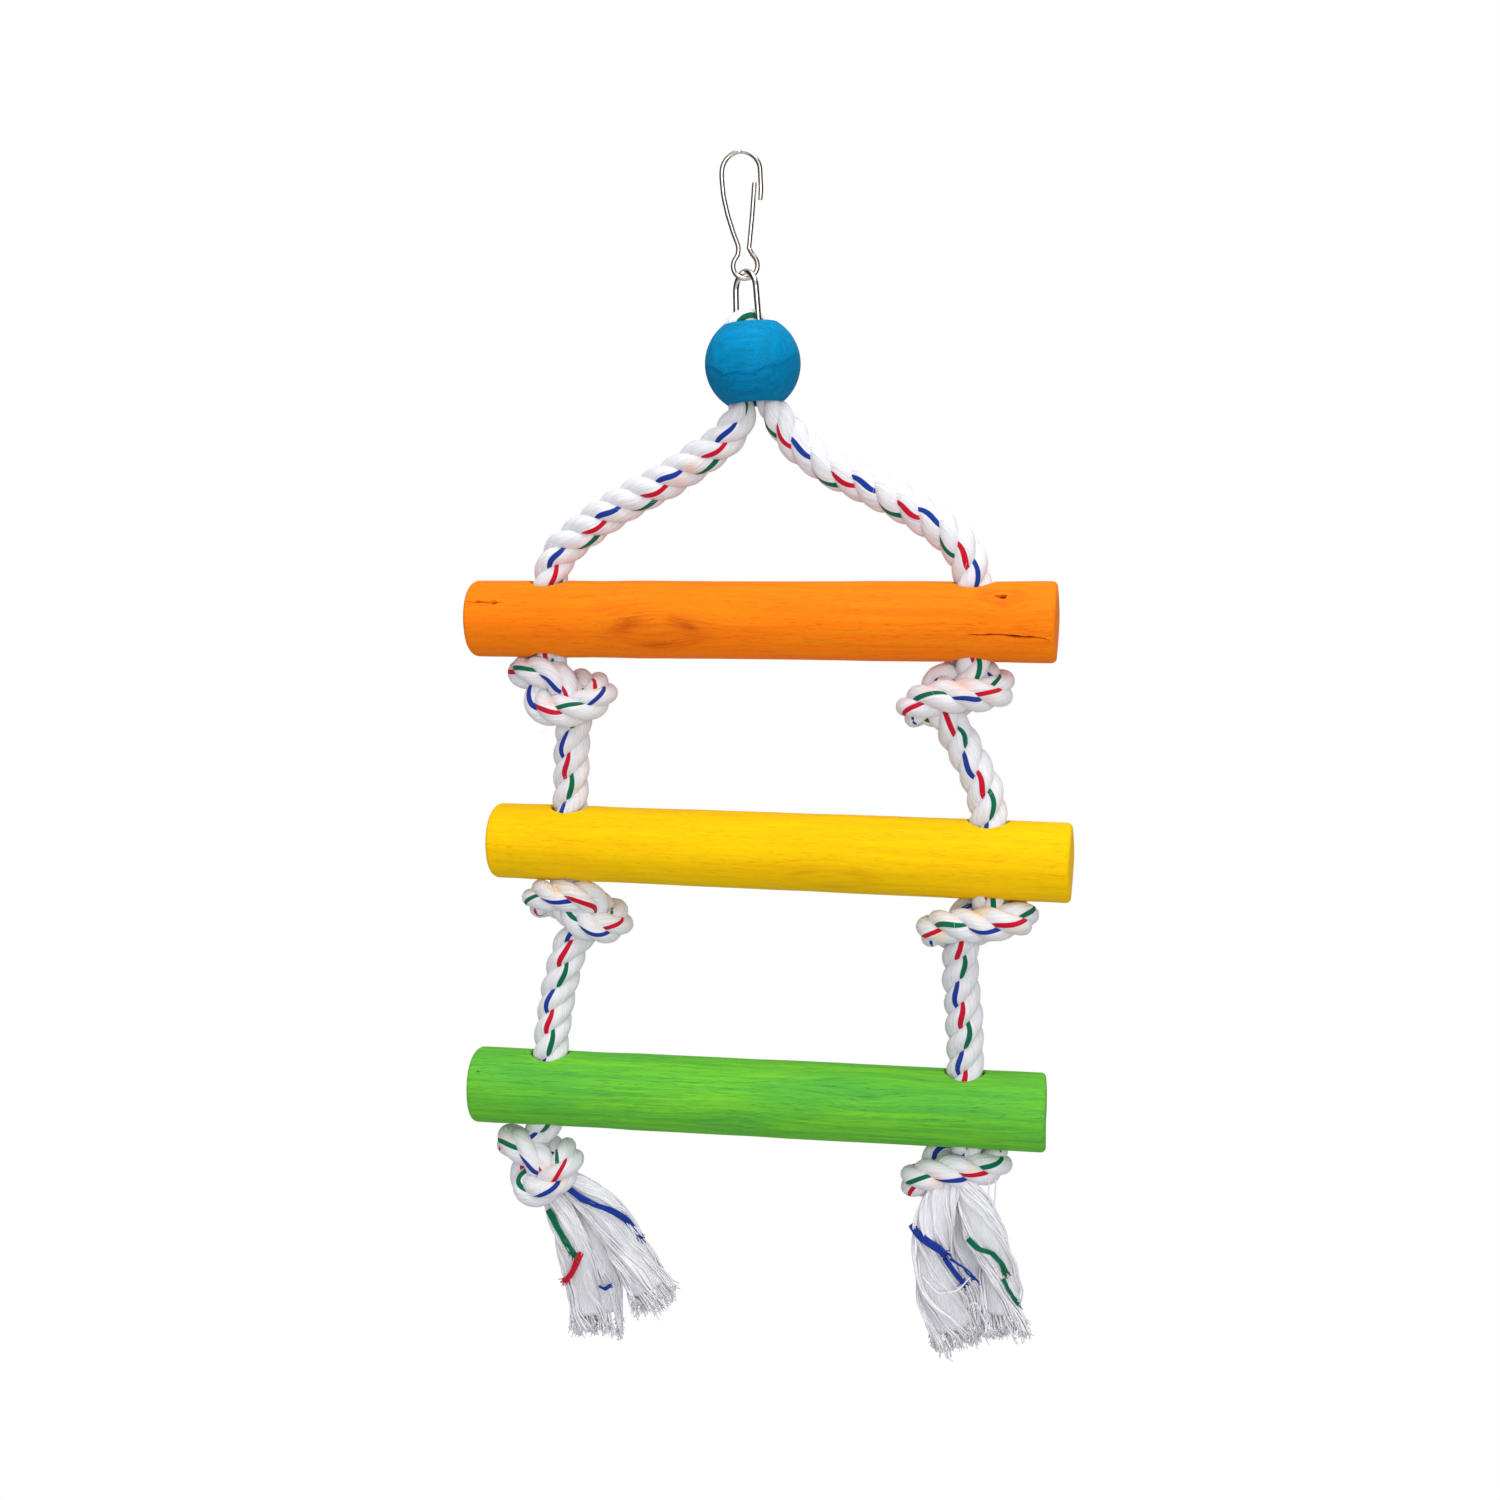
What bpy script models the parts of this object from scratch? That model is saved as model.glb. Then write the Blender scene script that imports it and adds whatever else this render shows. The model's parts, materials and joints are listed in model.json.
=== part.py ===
"""A hanging rope ladder for a pet bird: three wooden rungs on one doubled rope, under a bead and a snap hook.

Metres, +Z up. The origin is the hang point, the inside of the hook's crown, where a bar of the cage bears.
+X runs along the rungs, and -Y is the front. Sizes below are in millimetres and are scaled on use.
"""

import math

import bmesh
import bpy
from mathutils import Matrix, Vector

MM = 0.001
NAME = "rope_ladder"
GAP = 0.3  # between touching pieces

# Snap hook: one bent wire, whose straight end is the sprung gate.
HOOK_WIRE_R = 0.6
CROWN_R = 4.9  # centreline
CROWN_Z = HOOK_WIRE_R - CROWN_R
SPINE = [(-4.9, -5.6), (-4.45, -10.0), (-3.4, -14.5), (-1.95, -19.0), (-0.75, -22.0), (-0.6, -23.2)]
NOSE = [(4.95, -6.0), (5.1, -8.6), (4.9, -11.3)]
EYE_X, EYE_Z = 1.1, -27.1
EYE_R = 3.15  # centreline
NECK = (2.05, -22.9)
GATE_TIP = (3.45, -7.0)

# Oval link, hung on the bottom of the eye.
LINK_WIRE_R = 0.75
LINK_TOP_R, LINK_BOTTOM_R = 4.7, 5.25  # centreline
LINK_LENGTH = 19.4  # from the top to the bottom centreline
LINK_RISE = HOOK_WIRE_R + LINK_WIRE_R + 0.35  # its top centreline above the eye's wire
LINK_YAW = math.radians(-45)
LINK_LEAN = math.radians(3)

# Bead, a ball with a wide bore, threaded on both legs of the rope.
BEAD_R = 12.0
BEAD_HALF_HEIGHT = 9.8
BEAD_BORE_R = 6.9
BEAD_CENTRE = (3.0, 0.0, -51.2)
BEAD_LEAN = math.radians(-4)

# Rungs: position of the middle, turn about Z, and fall of the right end.
RUNG_R = 10.0
RUNG_LENGTH = 151.0
RUNG_EDGE = 1.4
HOLE_R = 5.0
HOLE_SPACING = 110.0
RUNGS = [
    ("rung_1", (3.8, -115.2), -1.0, 0.5, (1.0, 0.22, 0.01)),
    ("rung_2", (8.5, -174.4), -2.0, 0.0, (1.0, 0.62, 0.0)),
    ("rung_3", (3.2, -240.0), 3.0, -0.5, (0.15, 0.5, 0.01)),
]

# Rope: its radius, and the hand-laid route of each free stretch as x, z, from the top down. A span starts
# at an x under its knot.
ROPE_R = 4.7
UPPER_LEFT = [
    (0.0, -64.8), (-4.4, -70.2), (-12.3, -75.5), (-21.0, -80.6), (-29.8, -85.1),
    (-37.3, -89.5), (-44.0, -94.2), (-49.0, -98.8),
]
UPPER_RIGHT = [
    (10.2, -65.2), (14.4, -71.3), (22.5, -76.9), (31.6, -81.2), (40.4, -85.5),
    (47.6, -89.8), (53.6, -94.3), (57.6, -99.6),
]
SPANS = {
    "span_1_left": (-45.4, [(-45.7, -151.0), (-46.1, -157.0), (-46.4, -163.0), (-46.4, -170.0)]),
    "span_1_right": (54.8, [(57.6, -148.0), (60.8, -153.0), (62.8, -158.5), (63.5, -164.0), (63.5, -170.0)]),
    "span_2_left": (-47.0, [(-48.9, -209.5), (-50.6, -217.4), (-51.5, -224.8), (-51.8, -231.0)]),
    "span_2_right": (56.7, [(57.1, -206.5), (57.7, -213.5), (58.1, -221.0), (58.2, -228.0)]),
}
BIGHT_R = 4.2  # the rope's radius over the link
BORE_ROPE_R = 2.6  # and squeezed in the bead's bore
BIGHT_YAW = LINK_YAW + math.pi / 2

# Knots: middle x, width, height, depth and fall of the right side. Each hangs under its rung.
KNOTS = {
    "knot_1_left": ("rung_1", -48.4, 31.0, 19.0, 17.0, 12),
    "knot_1_right": ("rung_1", 55.0, 30.0, 17.0, 16.0, 6),
    "knot_2_left": ("rung_2", -45.0, 29.5, 17.0, 16.0, 4),
    "knot_2_right": ("rung_2", 61.0, 31.0, 15.0, 16.0, -3),
    "knot_3_left": ("rung_3", -55.0, 27.0, 21.5, 17.0, 20),
    "knot_3_right": ("rung_3", 56.0, 30.0, 14.5, 16.0, 3),
}

# Tassels: the pivot under the knot, the lean to the right, and the length.
TASSEL_TOP_R = 4.3
TASSELS = {
    "tassel_left": ("knot_3_left", -52.5, 30, 37.5, 10.0),
    "tassel_right": ("knot_3_right", 59.5, 2, 38.5, 13.5),
}
TASSEL_DEPTH = 0.62  # of its half width

# Where the free rope folds between rungs, as x, z.
FOLDS = {"fold_1": (9.0, -154.5), "fold_2": (3.0, -215.5)}

COTTON = (0.86, 0.85, 0.82)
NICKEL = (0.62, 0.6, 0.57)


def clear_scene():
    for thing in list(bpy.data.objects):
        bpy.data.objects.remove(thing, do_unlink=True)


def collection(name):
    group = bpy.data.collections.new(name)
    bpy.context.scene.collection.children.link(group)
    return group


def material(name, colour, roughness, metallic=0.0):
    made = bpy.data.materials.new(name)
    made.use_nodes = True
    shader = made.node_tree.nodes["Principled BSDF"]
    shader.inputs["Base Color"].default_value = (*colour, 1.0)
    shader.inputs["Roughness"].default_value = roughness
    shader.inputs["Metallic"].default_value = metallic
    return made


def add(name, data, group, location=(0, 0, 0), rotation=(0, 0, 0)):
    """A new object. Its location is in millimetres and its rotation is XYZ angles in radians."""
    thing = bpy.data.objects.new(name, data)
    thing.location = Vector(location) * MM
    thing.rotation_euler = rotation
    group.objects.link(thing)
    return thing


def mesh_from(name, shape):
    data = bpy.data.meshes.new(name)
    shape.to_mesh(data)
    shape.free()
    data.shade_smooth()
    data.set_sharp_from_angle(angle=math.radians(40))
    return data


def finish(thing, colour, roughness, metallic=0.0):
    thing.data.materials.append(material(thing.name, colour, roughness, metallic))
    return thing


def arc(centre, radius, start, end, count):
    """Points in the XZ plane on an arc, with angles in degrees from +X towards +Z."""
    angles = [math.radians(start + (end - start) * i / (count - 1)) for i in range(count)]
    return [(centre[0] + radius * math.cos(a), centre[1] + radius * math.sin(a)) for a in angles]


def smooth(points, step):
    """Points about a step apart on the Catmull-Rom curve through the given points."""
    route = [Vector(p) for p in points]
    ends = [2 * route[0] - route[1]] + route + [2 * route[-1] - route[-2]]
    out = []
    for a, b, c, d in zip(ends, ends[1:], ends[2:], ends[3:]):
        pieces = max(1, round((c - b).length / step))
        for i in range(pieces):
            t = i / pieces
            out.append(0.5 * (2 * b + (c - a) * t + (2 * a - 5 * b + 4 * c - d) * t * t
                              + (3 * b - a - 3 * c + d) * t ** 3))
    return out + [route[-1]]


def tube(name, group, points, radius, resolution=2, closed=False, location=(0, 0, 0), rotation=(0, 0, 0)):
    """A round tube along a polyline, as a bevelled curve with filled caps."""
    data = bpy.data.curves.new(name, "CURVE")
    data.dimensions = "3D"
    data.bevel_depth = radius * MM
    data.bevel_resolution = resolution
    data.use_fill_caps = not closed
    spline = data.splines.new("POLY")
    spline.points.add(len(points) - 1)
    for point, place in zip(spline.points, points):
        point.co = (*(Vector(place) * MM), 1.0)
    spline.use_cyclic_u = closed
    spline.use_smooth = True
    return add(name, data, group, location, rotation)


def loft(name, group, rings, location=(0, 0, 0), rotation=(0, 0, 0)):
    """A closed body through rings of equally many points, with flat ends."""
    shape = bmesh.new()
    loops = [[shape.verts.new(Vector(p) * MM) for p in ring] for ring in rings]
    for low, high in zip(loops, loops[1:]):
        for i in range(len(low)):
            j = (i + 1) % len(low)
            shape.faces.new((low[i], low[j], high[j], high[i]))
    shape.faces.new(loops[0][::-1])
    shape.faces.new(loops[-1])
    bmesh.ops.recalc_face_normals(shape, faces=shape.faces)
    return add(name, mesh_from(name, shape), group, location, rotation)


def sweep_rings(centres, tangents, radii, sides=12):
    """Round sections square to the tangents, carried along the route without twist."""
    across = tangents[0].orthogonal().normalized()
    rings = []
    for centre, tangent, radius in zip(centres, tangents, radii):
        across = (across - across.dot(tangent) * tangent).normalized()
        other = tangent.cross(across)
        turn = [2 * math.pi * i / sides for i in range(sides)]
        rings.append([centre + radius * (math.cos(a) * across + math.sin(a) * other) for a in turn])
    return rings


def make_snap_hook(group):
    """The hook's wire, from the nose over the crown, down the spine and round the eye to the neck."""
    crown = arc((0, CROWN_Z), CROWN_R, 0, 180, 17)
    eye = arc((EYE_X, EYE_Z), EYE_R, 128, 412, 25)
    outline = smooth(NOSE[::-1], 2.0) + crown + smooth(SPINE, 2.0) + eye + [NECK]
    wire = tube("snap_hook", group, [(x, 0, z) for x, z in outline], HOOK_WIRE_R)
    return finish(wire, NICKEL, 0.25, 1.0)


def make_gate(group):
    """The straight sprung end of the wire, with its origin at the flexure in the neck."""
    base = Vector((NECK[0], 0, NECK[1] + GAP / 2))
    tip = Vector((GATE_TIP[0], 0, GATE_TIP[1])) - base
    start = tip.normalized() * GAP / 2
    gate = tube("hook_gate", group, [start, tip * 0.5, tip], HOOK_WIRE_R, location=base)
    return finish(gate, NICKEL, 0.25, 1.0)


def link_turn():
    return Matrix.Rotation(-LINK_LEAN, 3, "Y") @ Matrix.Rotation(LINK_YAW, 3, "Z")


def link_place(rise):
    """A point on the link's middle line, at a height above the eye's wire while the link stands upright."""
    return Vector((EYE_X, 0, EYE_Z - EYE_R)) + link_turn() @ Vector((0, 0, rise))


def make_link(group):
    """The link's closed wire. Its origin is the middle of its top arc, so a turn there slides it round the eye."""
    top = arc((0, 0), LINK_TOP_R, 0, 180, 13)
    bottom = arc((0, LINK_TOP_R - LINK_LENGTH + LINK_BOTTOM_R), LINK_BOTTOM_R, 180, 360, 15)
    outline = [(x, 0, z) for x, z in top + bottom]
    link = tube("link", group, outline, LINK_WIRE_R, closed=True,
                location=link_place(LINK_RISE - LINK_TOP_R), rotation=link_turn().to_euler())
    return finish(link, NICKEL, 0.3, 1.0)


def make_bead(group):
    """A ball turned with a bore, from a profile that runs down its outside and up its bore."""
    rim = math.degrees(math.asin(BEAD_HALF_HEIGHT / BEAD_R))
    outside = arc((0, 0), BEAD_R, rim, -rim, 15)
    inside = [(BEAD_BORE_R, -BEAD_HALF_HEIGHT + 0.5), (BEAD_BORE_R, BEAD_HALF_HEIGHT - 0.5)]
    shape = bmesh.new()
    corners = [shape.verts.new(Vector((x, 0, z)) * MM) for x, z in outside + inside]
    for a, b in zip(corners, corners[1:] + corners[:1]):
        shape.edges.new((a, b))
    bead = add("bead", mesh_from("bead", shape), group, BEAD_CENTRE, (0, BEAD_LEAN, 0))
    turn = bead.modifiers.new("turn", "SCREW")
    turn.steps = turn.render_steps = 32
    turn.use_merge_vertices = True
    turn.merge_threshold = 0.00001
    turn.use_smooth_shade = True
    return finish(bead, (0.0, 0.28, 0.6), 0.55)


def make_rung(group, cutters, name, middle, yaw, fall, colour):
    """A dowel along X with softened ends and a hole for each leg of the rope."""
    shape = bmesh.new()
    bmesh.ops.create_cone(shape, cap_ends=True, segments=32, radius1=RUNG_R * MM, radius2=RUNG_R * MM,
                          depth=RUNG_LENGTH * MM, matrix=Matrix.Rotation(math.pi / 2, 4, "Y"))
    turn = (0, math.radians(fall), math.radians(yaw))
    rung = add(name, mesh_from(name, shape), group, (middle[0], 0, middle[1]), turn)
    soften = rung.modifiers.new("soften", "BEVEL")
    soften.width = RUNG_EDGE * MM
    soften.segments = 2
    soften.limit_method = "ANGLE"
    for side in (-1, 1):
        shape = bmesh.new()
        bmesh.ops.create_cone(shape, cap_ends=True, segments=24, radius1=HOLE_R * MM, radius2=HOLE_R * MM,
                              depth=4 * RUNG_R * MM)
        label = f"{name}_{'left' if side < 0 else 'right'}_drill"
        drill = add(label, mesh_from(label, shape), cutters, (side * HOLE_SPACING / 2, 0, 0))
        drill.parent = rung
        drill.hide_render = True
        drill.display_type = "WIRE"
        cut = rung.modifiers.new(label, "BOOLEAN")
        cut.operation = "DIFFERENCE"
        cut.object = drill
    return finish(rung, colour, 0.6)


def rung_values(name):
    return next(row for row in RUNGS if row[0] == name)


def hole(name, side):
    """The place where a rung's hole crosses its axis."""
    _, middle, yaw, fall, _ = rung_values(name)
    turn = Matrix.Rotation(math.radians(yaw), 3, "Z") @ Matrix.Rotation(math.radians(fall), 3, "Y")
    return Vector((middle[0], 0, middle[1])) + turn @ Vector((side * HOLE_SPACING / 2, 0, 0))


def knot_middle(name):
    """The middle of a knot, which sits just under its rung's hole."""
    rung, x, _, height, _, _ = KNOTS[name]
    at = hole(rung, 1 if name.endswith("right") else -1)
    return Vector((x, at.y, at.z - RUNG_R - GAP - height / 2))


def make_knot(group, name):
    _, _, width, height, depth, fall = KNOTS[name]
    shape = bmesh.new()
    bmesh.ops.create_uvsphere(shape, u_segments=16, v_segments=9, radius=1.0)
    slant = height * math.tan(math.radians(fall)) / width
    for corner in shape.verts:
        x, y, z = corner.co
        corner.co = Vector((x * width, y * depth, (z - slant * x * (1 - z * z)) * height)) * MM / 2
    knot = add(name, mesh_from(name, shape), group, knot_middle(name))
    return finish(knot, COTTON, 0.9)


def bight():
    """Centres, tangents and radii of the rope over the link's wire, from the front left to the back right."""
    pivot = link_place(LINK_RISE - LINK_LENGTH)
    along = Vector((math.cos(BIGHT_YAW), math.sin(BIGHT_YAW), 0))
    clear = LINK_WIRE_R + 0.15
    centres, tangents, radii = [], [], []
    for i in range(13):
        a = math.pi * (1 - i / 12)
        radius = BORE_ROPE_R + (BIGHT_R - BORE_ROPE_R) * math.sin(a) ** 2
        out = math.cos(a) * along + math.sin(a) * Vector((0, 0, 1))
        centres.append(pivot + (clear + radius) * out)
        tangents.append(math.sin(a) * along - math.cos(a) * Vector((0, 0, 1)))
        radii.append(radius)
    return pivot, centres, tangents, radii


def bore_leg(pivot, side, count=6):
    """Centres and radii of one leg inside the bead, turning from the bight's direction to the ladder's."""
    lean = math.tan(BEAD_LEAN)
    centres, radii = [], []
    for i in range(1, count + 1):
        t = i / count
        z = pivot.z + (BEAD_CENTRE[2] - BEAD_HALF_HEIGHT - pivot.z) * t
        turn = BIGHT_YAW * (1 - t * t * (3 - 2 * t))
        middle = pivot.lerp(Vector((BEAD_CENTRE[0] + lean * (z - BEAD_CENTRE[2]), 0, z)), t)
        middle.z = z
        centres.append(middle + side * (BORE_ROPE_R + 0.6) * Vector((math.cos(turn), math.sin(turn), 0)))
        radii.append(BORE_ROPE_R)
    return centres, radii


def upper_leg(points, rung, side):
    """Centres and radii from the bead down into the top rung's hole, as far as the knot under it."""
    at = hole(rung, side)
    free = [Vector((x, at.y * i / len(points), z)) for i, (x, z) in enumerate(points)]
    down = [at + Vector((0, 0, RUNG_R - 0.5)), at, at - Vector((0, 0, RUNG_R))]
    centres = smooth(free + down, 3.5)
    radii = [min(ROPE_R, 4.1 + 0.3 * i) for i in range(len(centres))]
    return centres, radii


def make_top_loop(group):
    """The rope's upper loop: from one knot of the top rung, over the link, to the other."""
    pivot, arch, arch_tangents, arch_radii = bight()
    sides = []
    for side, points in ((-1, UPPER_LEFT), (1, UPPER_RIGHT)):
        inner, inner_radii = bore_leg(pivot, side)
        outer, outer_radii = upper_leg(points, "rung_1", side)
        sides.append((inner + outer, inner_radii + outer_radii))
    centres = sides[0][0][::-1] + arch + sides[1][0]
    radii = sides[0][1][::-1] + arch_radii + sides[1][1]
    after, before = centres[1:] + centres[-1:], centres[:1] + centres[:-1]
    tangents = [(b - a).normalized() for a, b in zip(before, after)]
    first = len(sides[0][0])
    tangents[first:first + len(arch)] = arch_tangents
    rope = loft("rope_top_loop", group, sweep_rings(centres, tangents, radii))
    return finish(rope, COTTON, 0.9)


def make_span(group, name, foot, points):
    """A stretch of rope from under one knot, through the next rung's hole, as far as the knot under it."""
    number, side = int(name[5]), name[7:]
    knot = f"knot_{number}_{side}"
    at = hole(f"rung_{number + 1}", 1 if side == "right" else -1)
    start = knot_middle(knot) - Vector((0, 0, KNOTS[knot][3] / 2 + GAP))
    start.x = foot
    last = len(points)
    free = [Vector((x, start.y + (at.y - start.y) * (i + 1) / last, z)) for i, (x, z) in enumerate(points)]
    route = [start, start - Vector((0, 0, 1.5))] + free + [at - Vector((0, 0, RUNG_R))]
    rope = tube(name, group, smooth(route, 3.5), ROPE_R, resolution=4)
    return finish(rope, COTTON, 0.9)


def make_tassel(group, name):
    """The frayed end as one closed brush, widening from a round top at its hinge."""
    knot, x, lean, length, half_width = TASSELS[name]
    _, _, _, height, _, _ = KNOTS[knot]
    under = knot_middle(knot) - Vector((0, 0, height / 2 + GAP + TASSEL_TOP_R))
    levels = [(TASSEL_TOP_R * math.cos(a), TASSEL_TOP_R * math.sin(a))
              for a in (math.radians(d) for d in (80, 50, 20))]
    foot = length - TASSEL_TOP_R
    levels = [(r, z) for r, z in levels] + [
        (TASSEL_TOP_R + (half_width - TASSEL_TOP_R) * math.sin(t * math.pi / 2), -foot * t)
        for t in (0.12, 0.35, 0.6, 0.85)
    ] + [(half_width * 0.8, -foot * 0.97), (half_width * 0.5, -foot)]
    rings = []
    for radius, z in levels:
        deep = max(TASSEL_DEPTH, min(1.0, TASSEL_TOP_R / radius))
        turn = [2 * math.pi * i / 16 for i in range(16)]
        rings.append([(radius * math.cos(a), radius * deep * math.sin(a), z) for a in turn])
    brush = loft(name, group, rings, (x, under.y, under.z), (0, -math.radians(lean), 0))
    return finish(brush, COTTON, 0.95)


def hang(name, group, at, things):
    """Parents things, as they stand, to an empty on the axis that they turn about."""
    pivot = add(name, None, group, at)
    bpy.context.view_layer.update()
    for thing in things:
        thing.parent = pivot
        thing.matrix_parent_inverse = pivot.matrix_world.inverted()
    return pivot


def main():
    clear_scene()
    parts, cutters = collection(NAME), collection(NAME + "_cutters")
    make_snap_hook(parts)
    make_gate(parts)
    make_link(parts)
    make_bead(parts)
    rungs = [make_rung(parts, cutters, *row) for row in RUNGS]
    spans = {name: make_span(parts, name, foot, points) for name, (foot, points) in SPANS.items()}
    knots = {name: make_knot(parts, name) for name in KNOTS}
    tassels = [make_tassel(parts, name) for name in TASSELS]
    levels = [[rung] + [thing for name, thing in [*knots.items(), *spans.items()] if name[5:6] == number]
              for rung, number in zip(rungs, "123")]
    lower = hang("fold_2", parts, (FOLDS["fold_2"][0], 0, FOLDS["fold_2"][1]), levels[2] + tassels)
    middle = hang("fold_1", parts, (FOLDS["fold_1"][0], 0, FOLDS["fold_1"][1]), levels[1] + [lower])
    hang("ladder_swing", parts, link_place(LINK_RISE - LINK_LENGTH), [make_top_loop(parts), middle] + levels[0])


main()
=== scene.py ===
import json
import math

import bpy
import bmesh
import numpy as np
from mathutils import Matrix, Vector


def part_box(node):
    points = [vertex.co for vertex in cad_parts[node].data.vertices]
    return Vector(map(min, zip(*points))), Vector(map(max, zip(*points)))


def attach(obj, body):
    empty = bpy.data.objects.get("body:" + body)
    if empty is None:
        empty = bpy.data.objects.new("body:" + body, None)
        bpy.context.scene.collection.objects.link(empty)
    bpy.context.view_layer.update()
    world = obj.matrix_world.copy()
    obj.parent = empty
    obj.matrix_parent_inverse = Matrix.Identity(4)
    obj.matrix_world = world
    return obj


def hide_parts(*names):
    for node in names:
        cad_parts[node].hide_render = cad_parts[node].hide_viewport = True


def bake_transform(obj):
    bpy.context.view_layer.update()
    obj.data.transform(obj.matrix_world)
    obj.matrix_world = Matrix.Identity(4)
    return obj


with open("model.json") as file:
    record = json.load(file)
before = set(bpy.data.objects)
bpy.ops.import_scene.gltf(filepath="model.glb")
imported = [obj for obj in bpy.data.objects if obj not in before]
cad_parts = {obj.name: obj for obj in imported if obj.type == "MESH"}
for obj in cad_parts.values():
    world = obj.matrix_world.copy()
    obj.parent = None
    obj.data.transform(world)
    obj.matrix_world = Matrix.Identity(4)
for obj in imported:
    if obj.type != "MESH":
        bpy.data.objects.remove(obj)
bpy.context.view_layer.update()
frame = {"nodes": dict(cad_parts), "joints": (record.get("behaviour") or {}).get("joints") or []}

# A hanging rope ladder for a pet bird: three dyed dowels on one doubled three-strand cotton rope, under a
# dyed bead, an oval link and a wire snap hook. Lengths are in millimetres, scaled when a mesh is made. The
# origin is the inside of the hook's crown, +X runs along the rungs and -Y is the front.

MM = 0.001

# Camera, at the angle of the reference view.
AIM = (2.3, 0.0, -148.4)
CAMERA_AZIMUTH = math.radians(12.5)
CAMERA_PITCH = math.radians(6.18)
CAMERA_DISTANCE = 450.0
FOCAL_LENGTH = 42.12

# Light and floor, in metres.
LIGHT_AIM = (0.005, 0.0, -0.15)
ROOM_STRENGTH = 0.54
FLOOR_HALF, FLOOR_Z = 6.0, -0.46

# Rope: three strands laid right-handed, with one dyed yarn in each.
ROPE_R = 4.8
STRAND_R = 2.55
HELIX_R = ROPE_R - STRAND_R
LAY = 18.5
RING_STEP = 0.55
STRAND_SIDES = 28
TRACER_HALF_WIDTH = math.radians(18)
RED, BLUE, GREEN = (0.60, 0.008, 0.03), (0.014, 0.045, 0.31), (0.004, 0.15, 0.07)
STRAND_DYES = (BLUE, RED, GREEN)
FRONT = np.array([0.0, -1.0, 0.0])
UP = np.array([0.0, 0.0, 1.0])

# The rope's route, the same points as the CAD rope, as x, z from the top down. A span also has the
# x at which it leaves its knot.
UPPER_LEFT = [
    (0.0, -64.8), (-4.4, -70.2), (-12.3, -75.5), (-21.0, -80.6), (-29.8, -85.1),
    (-37.3, -89.5), (-44.0, -94.2), (-49.0, -98.8),
]
UPPER_RIGHT = [
    (10.2, -65.2), (14.4, -71.3), (22.5, -76.9), (31.6, -81.2), (40.4, -85.5),
    (47.6, -89.8), (53.6, -94.3), (57.6, -99.6),
]
SPANS = {
    "1_left": (-45.4, [(-45.7, -151.0), (-46.1, -157.0), (-46.4, -163.0)]),
    "1_right": (54.8, [(57.6, -148.0), (60.8, -153.0), (62.8, -158.5), (63.5, -163.0)]),
    "2_left": (-47.0, [(-48.9, -209.5), (-50.6, -217.4), (-51.5, -224.8), (-51.8, -229.0)]),
    "2_right": (56.7, [(57.1, -206.5), (57.7, -213.5), (58.1, -221.0), (58.2, -228.0)]),
}

# Knots: the side of the tied knot that faces the front and its tilt, in degrees, its size across, up and
# deep, and how far its middle is drawn up from the CAD knot's, against the rung.
KNOTS = {
    "1_left": (38, 2, (32.0, 24.4, 20.0), 1.9),
    "1_right": (150, 0, (30.8, 20.4, 19.0), 1.4),
    "2_left": (330, 0, (30.8, 21.0, 19.0), 1.6),
    "2_right": (182, -8, (32.0, 18.0, 19.0), 2.3),
    "3_left": (50, -12, (26.8, 24.6, 20.0), 1.9),
    "3_right": (152, -5, (30.8, 20.8, 19.0), 1.9),
}
KNOT_ROPE_R = 4.35
KNOT_HALF_HEIGHT = 9.5  # of the tied knot, before it is sized
FUZZ = 1.2  # stray fibres in each millimetre of rope

# Rungs: the radius, the rounding of the ends, how far the holes are from the middle, and their radius.
RUNG_R = 10.0
RUNG_EDGE = 1.3
HOLE_OFFSET = 55.0
HOLE_R = 5.0

BEAD_R, BEAD_HALF_HEIGHT, BEAD_BORE_R = 12.0, 9.8, 6.9

# Wires: the snap hook's crown, spine, nose, eye, neck and gate, as x, z, and the oval link.
WIRE_R = 0.6
WIRE_SIDES = 24
CROWN_R = 4.9
SPINE = [(-4.9, -5.6), (-4.45, -10.0), (-3.4, -14.5), (-1.95, -19.0), (-0.75, -22.0), (-0.6, -23.2)]
NOSE = [(4.9, -11.3), (5.1, -8.6), (4.95, -6.0)]
EYE_X, EYE_Z, EYE_R = 1.1, -27.1, 3.15
NECK, GATE_TIP = (2.05, -22.9), (3.45, -7.0)
LINK_WIRE_R, LINK_TOP_R, LINK_BOTTOM_R, LINK_LENGTH = 0.75, 4.7, 5.25, 19.4


# ---------------- the frame

def joint(name):
    return next(j for j in frame["joints"] if j["name"] == name)


def joint_place(name):
    return np.array(joint(name)["pos_m"]) / MM


def mesh_points(data):
    """A mesh's points, in millimetres."""
    out = np.zeros(len(data.vertices) * 3)
    data.vertices.foreach_get("co", out)
    return out.reshape(-1, 3) / MM


def node_middle(name):
    low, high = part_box(name)
    return np.array((low + high) / 2) / MM


def rung_axis(name):
    """The middle of a rung, the direction of its axis, and its length, from the CAD's end faces."""
    points = mesh_points(frame["nodes"][name].data)
    low = points[points[:, 0] < points[:, 0].min() + 1.5].mean(axis=0)
    high = points[points[:, 0] > points[:, 0].max() - 1.5].mean(axis=0)
    along = (high - low) / np.linalg.norm(high - low)
    ends = (points - low) @ along
    return (low + high) / 2, along, ends.max() - ends.min()


def rung_hole(number, side):
    middle, along, _ = rung_axis(f"rung_{number}")
    return middle + along * HOLE_OFFSET * (1 if side == "right" else -1)


# ---------------- making meshes

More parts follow.
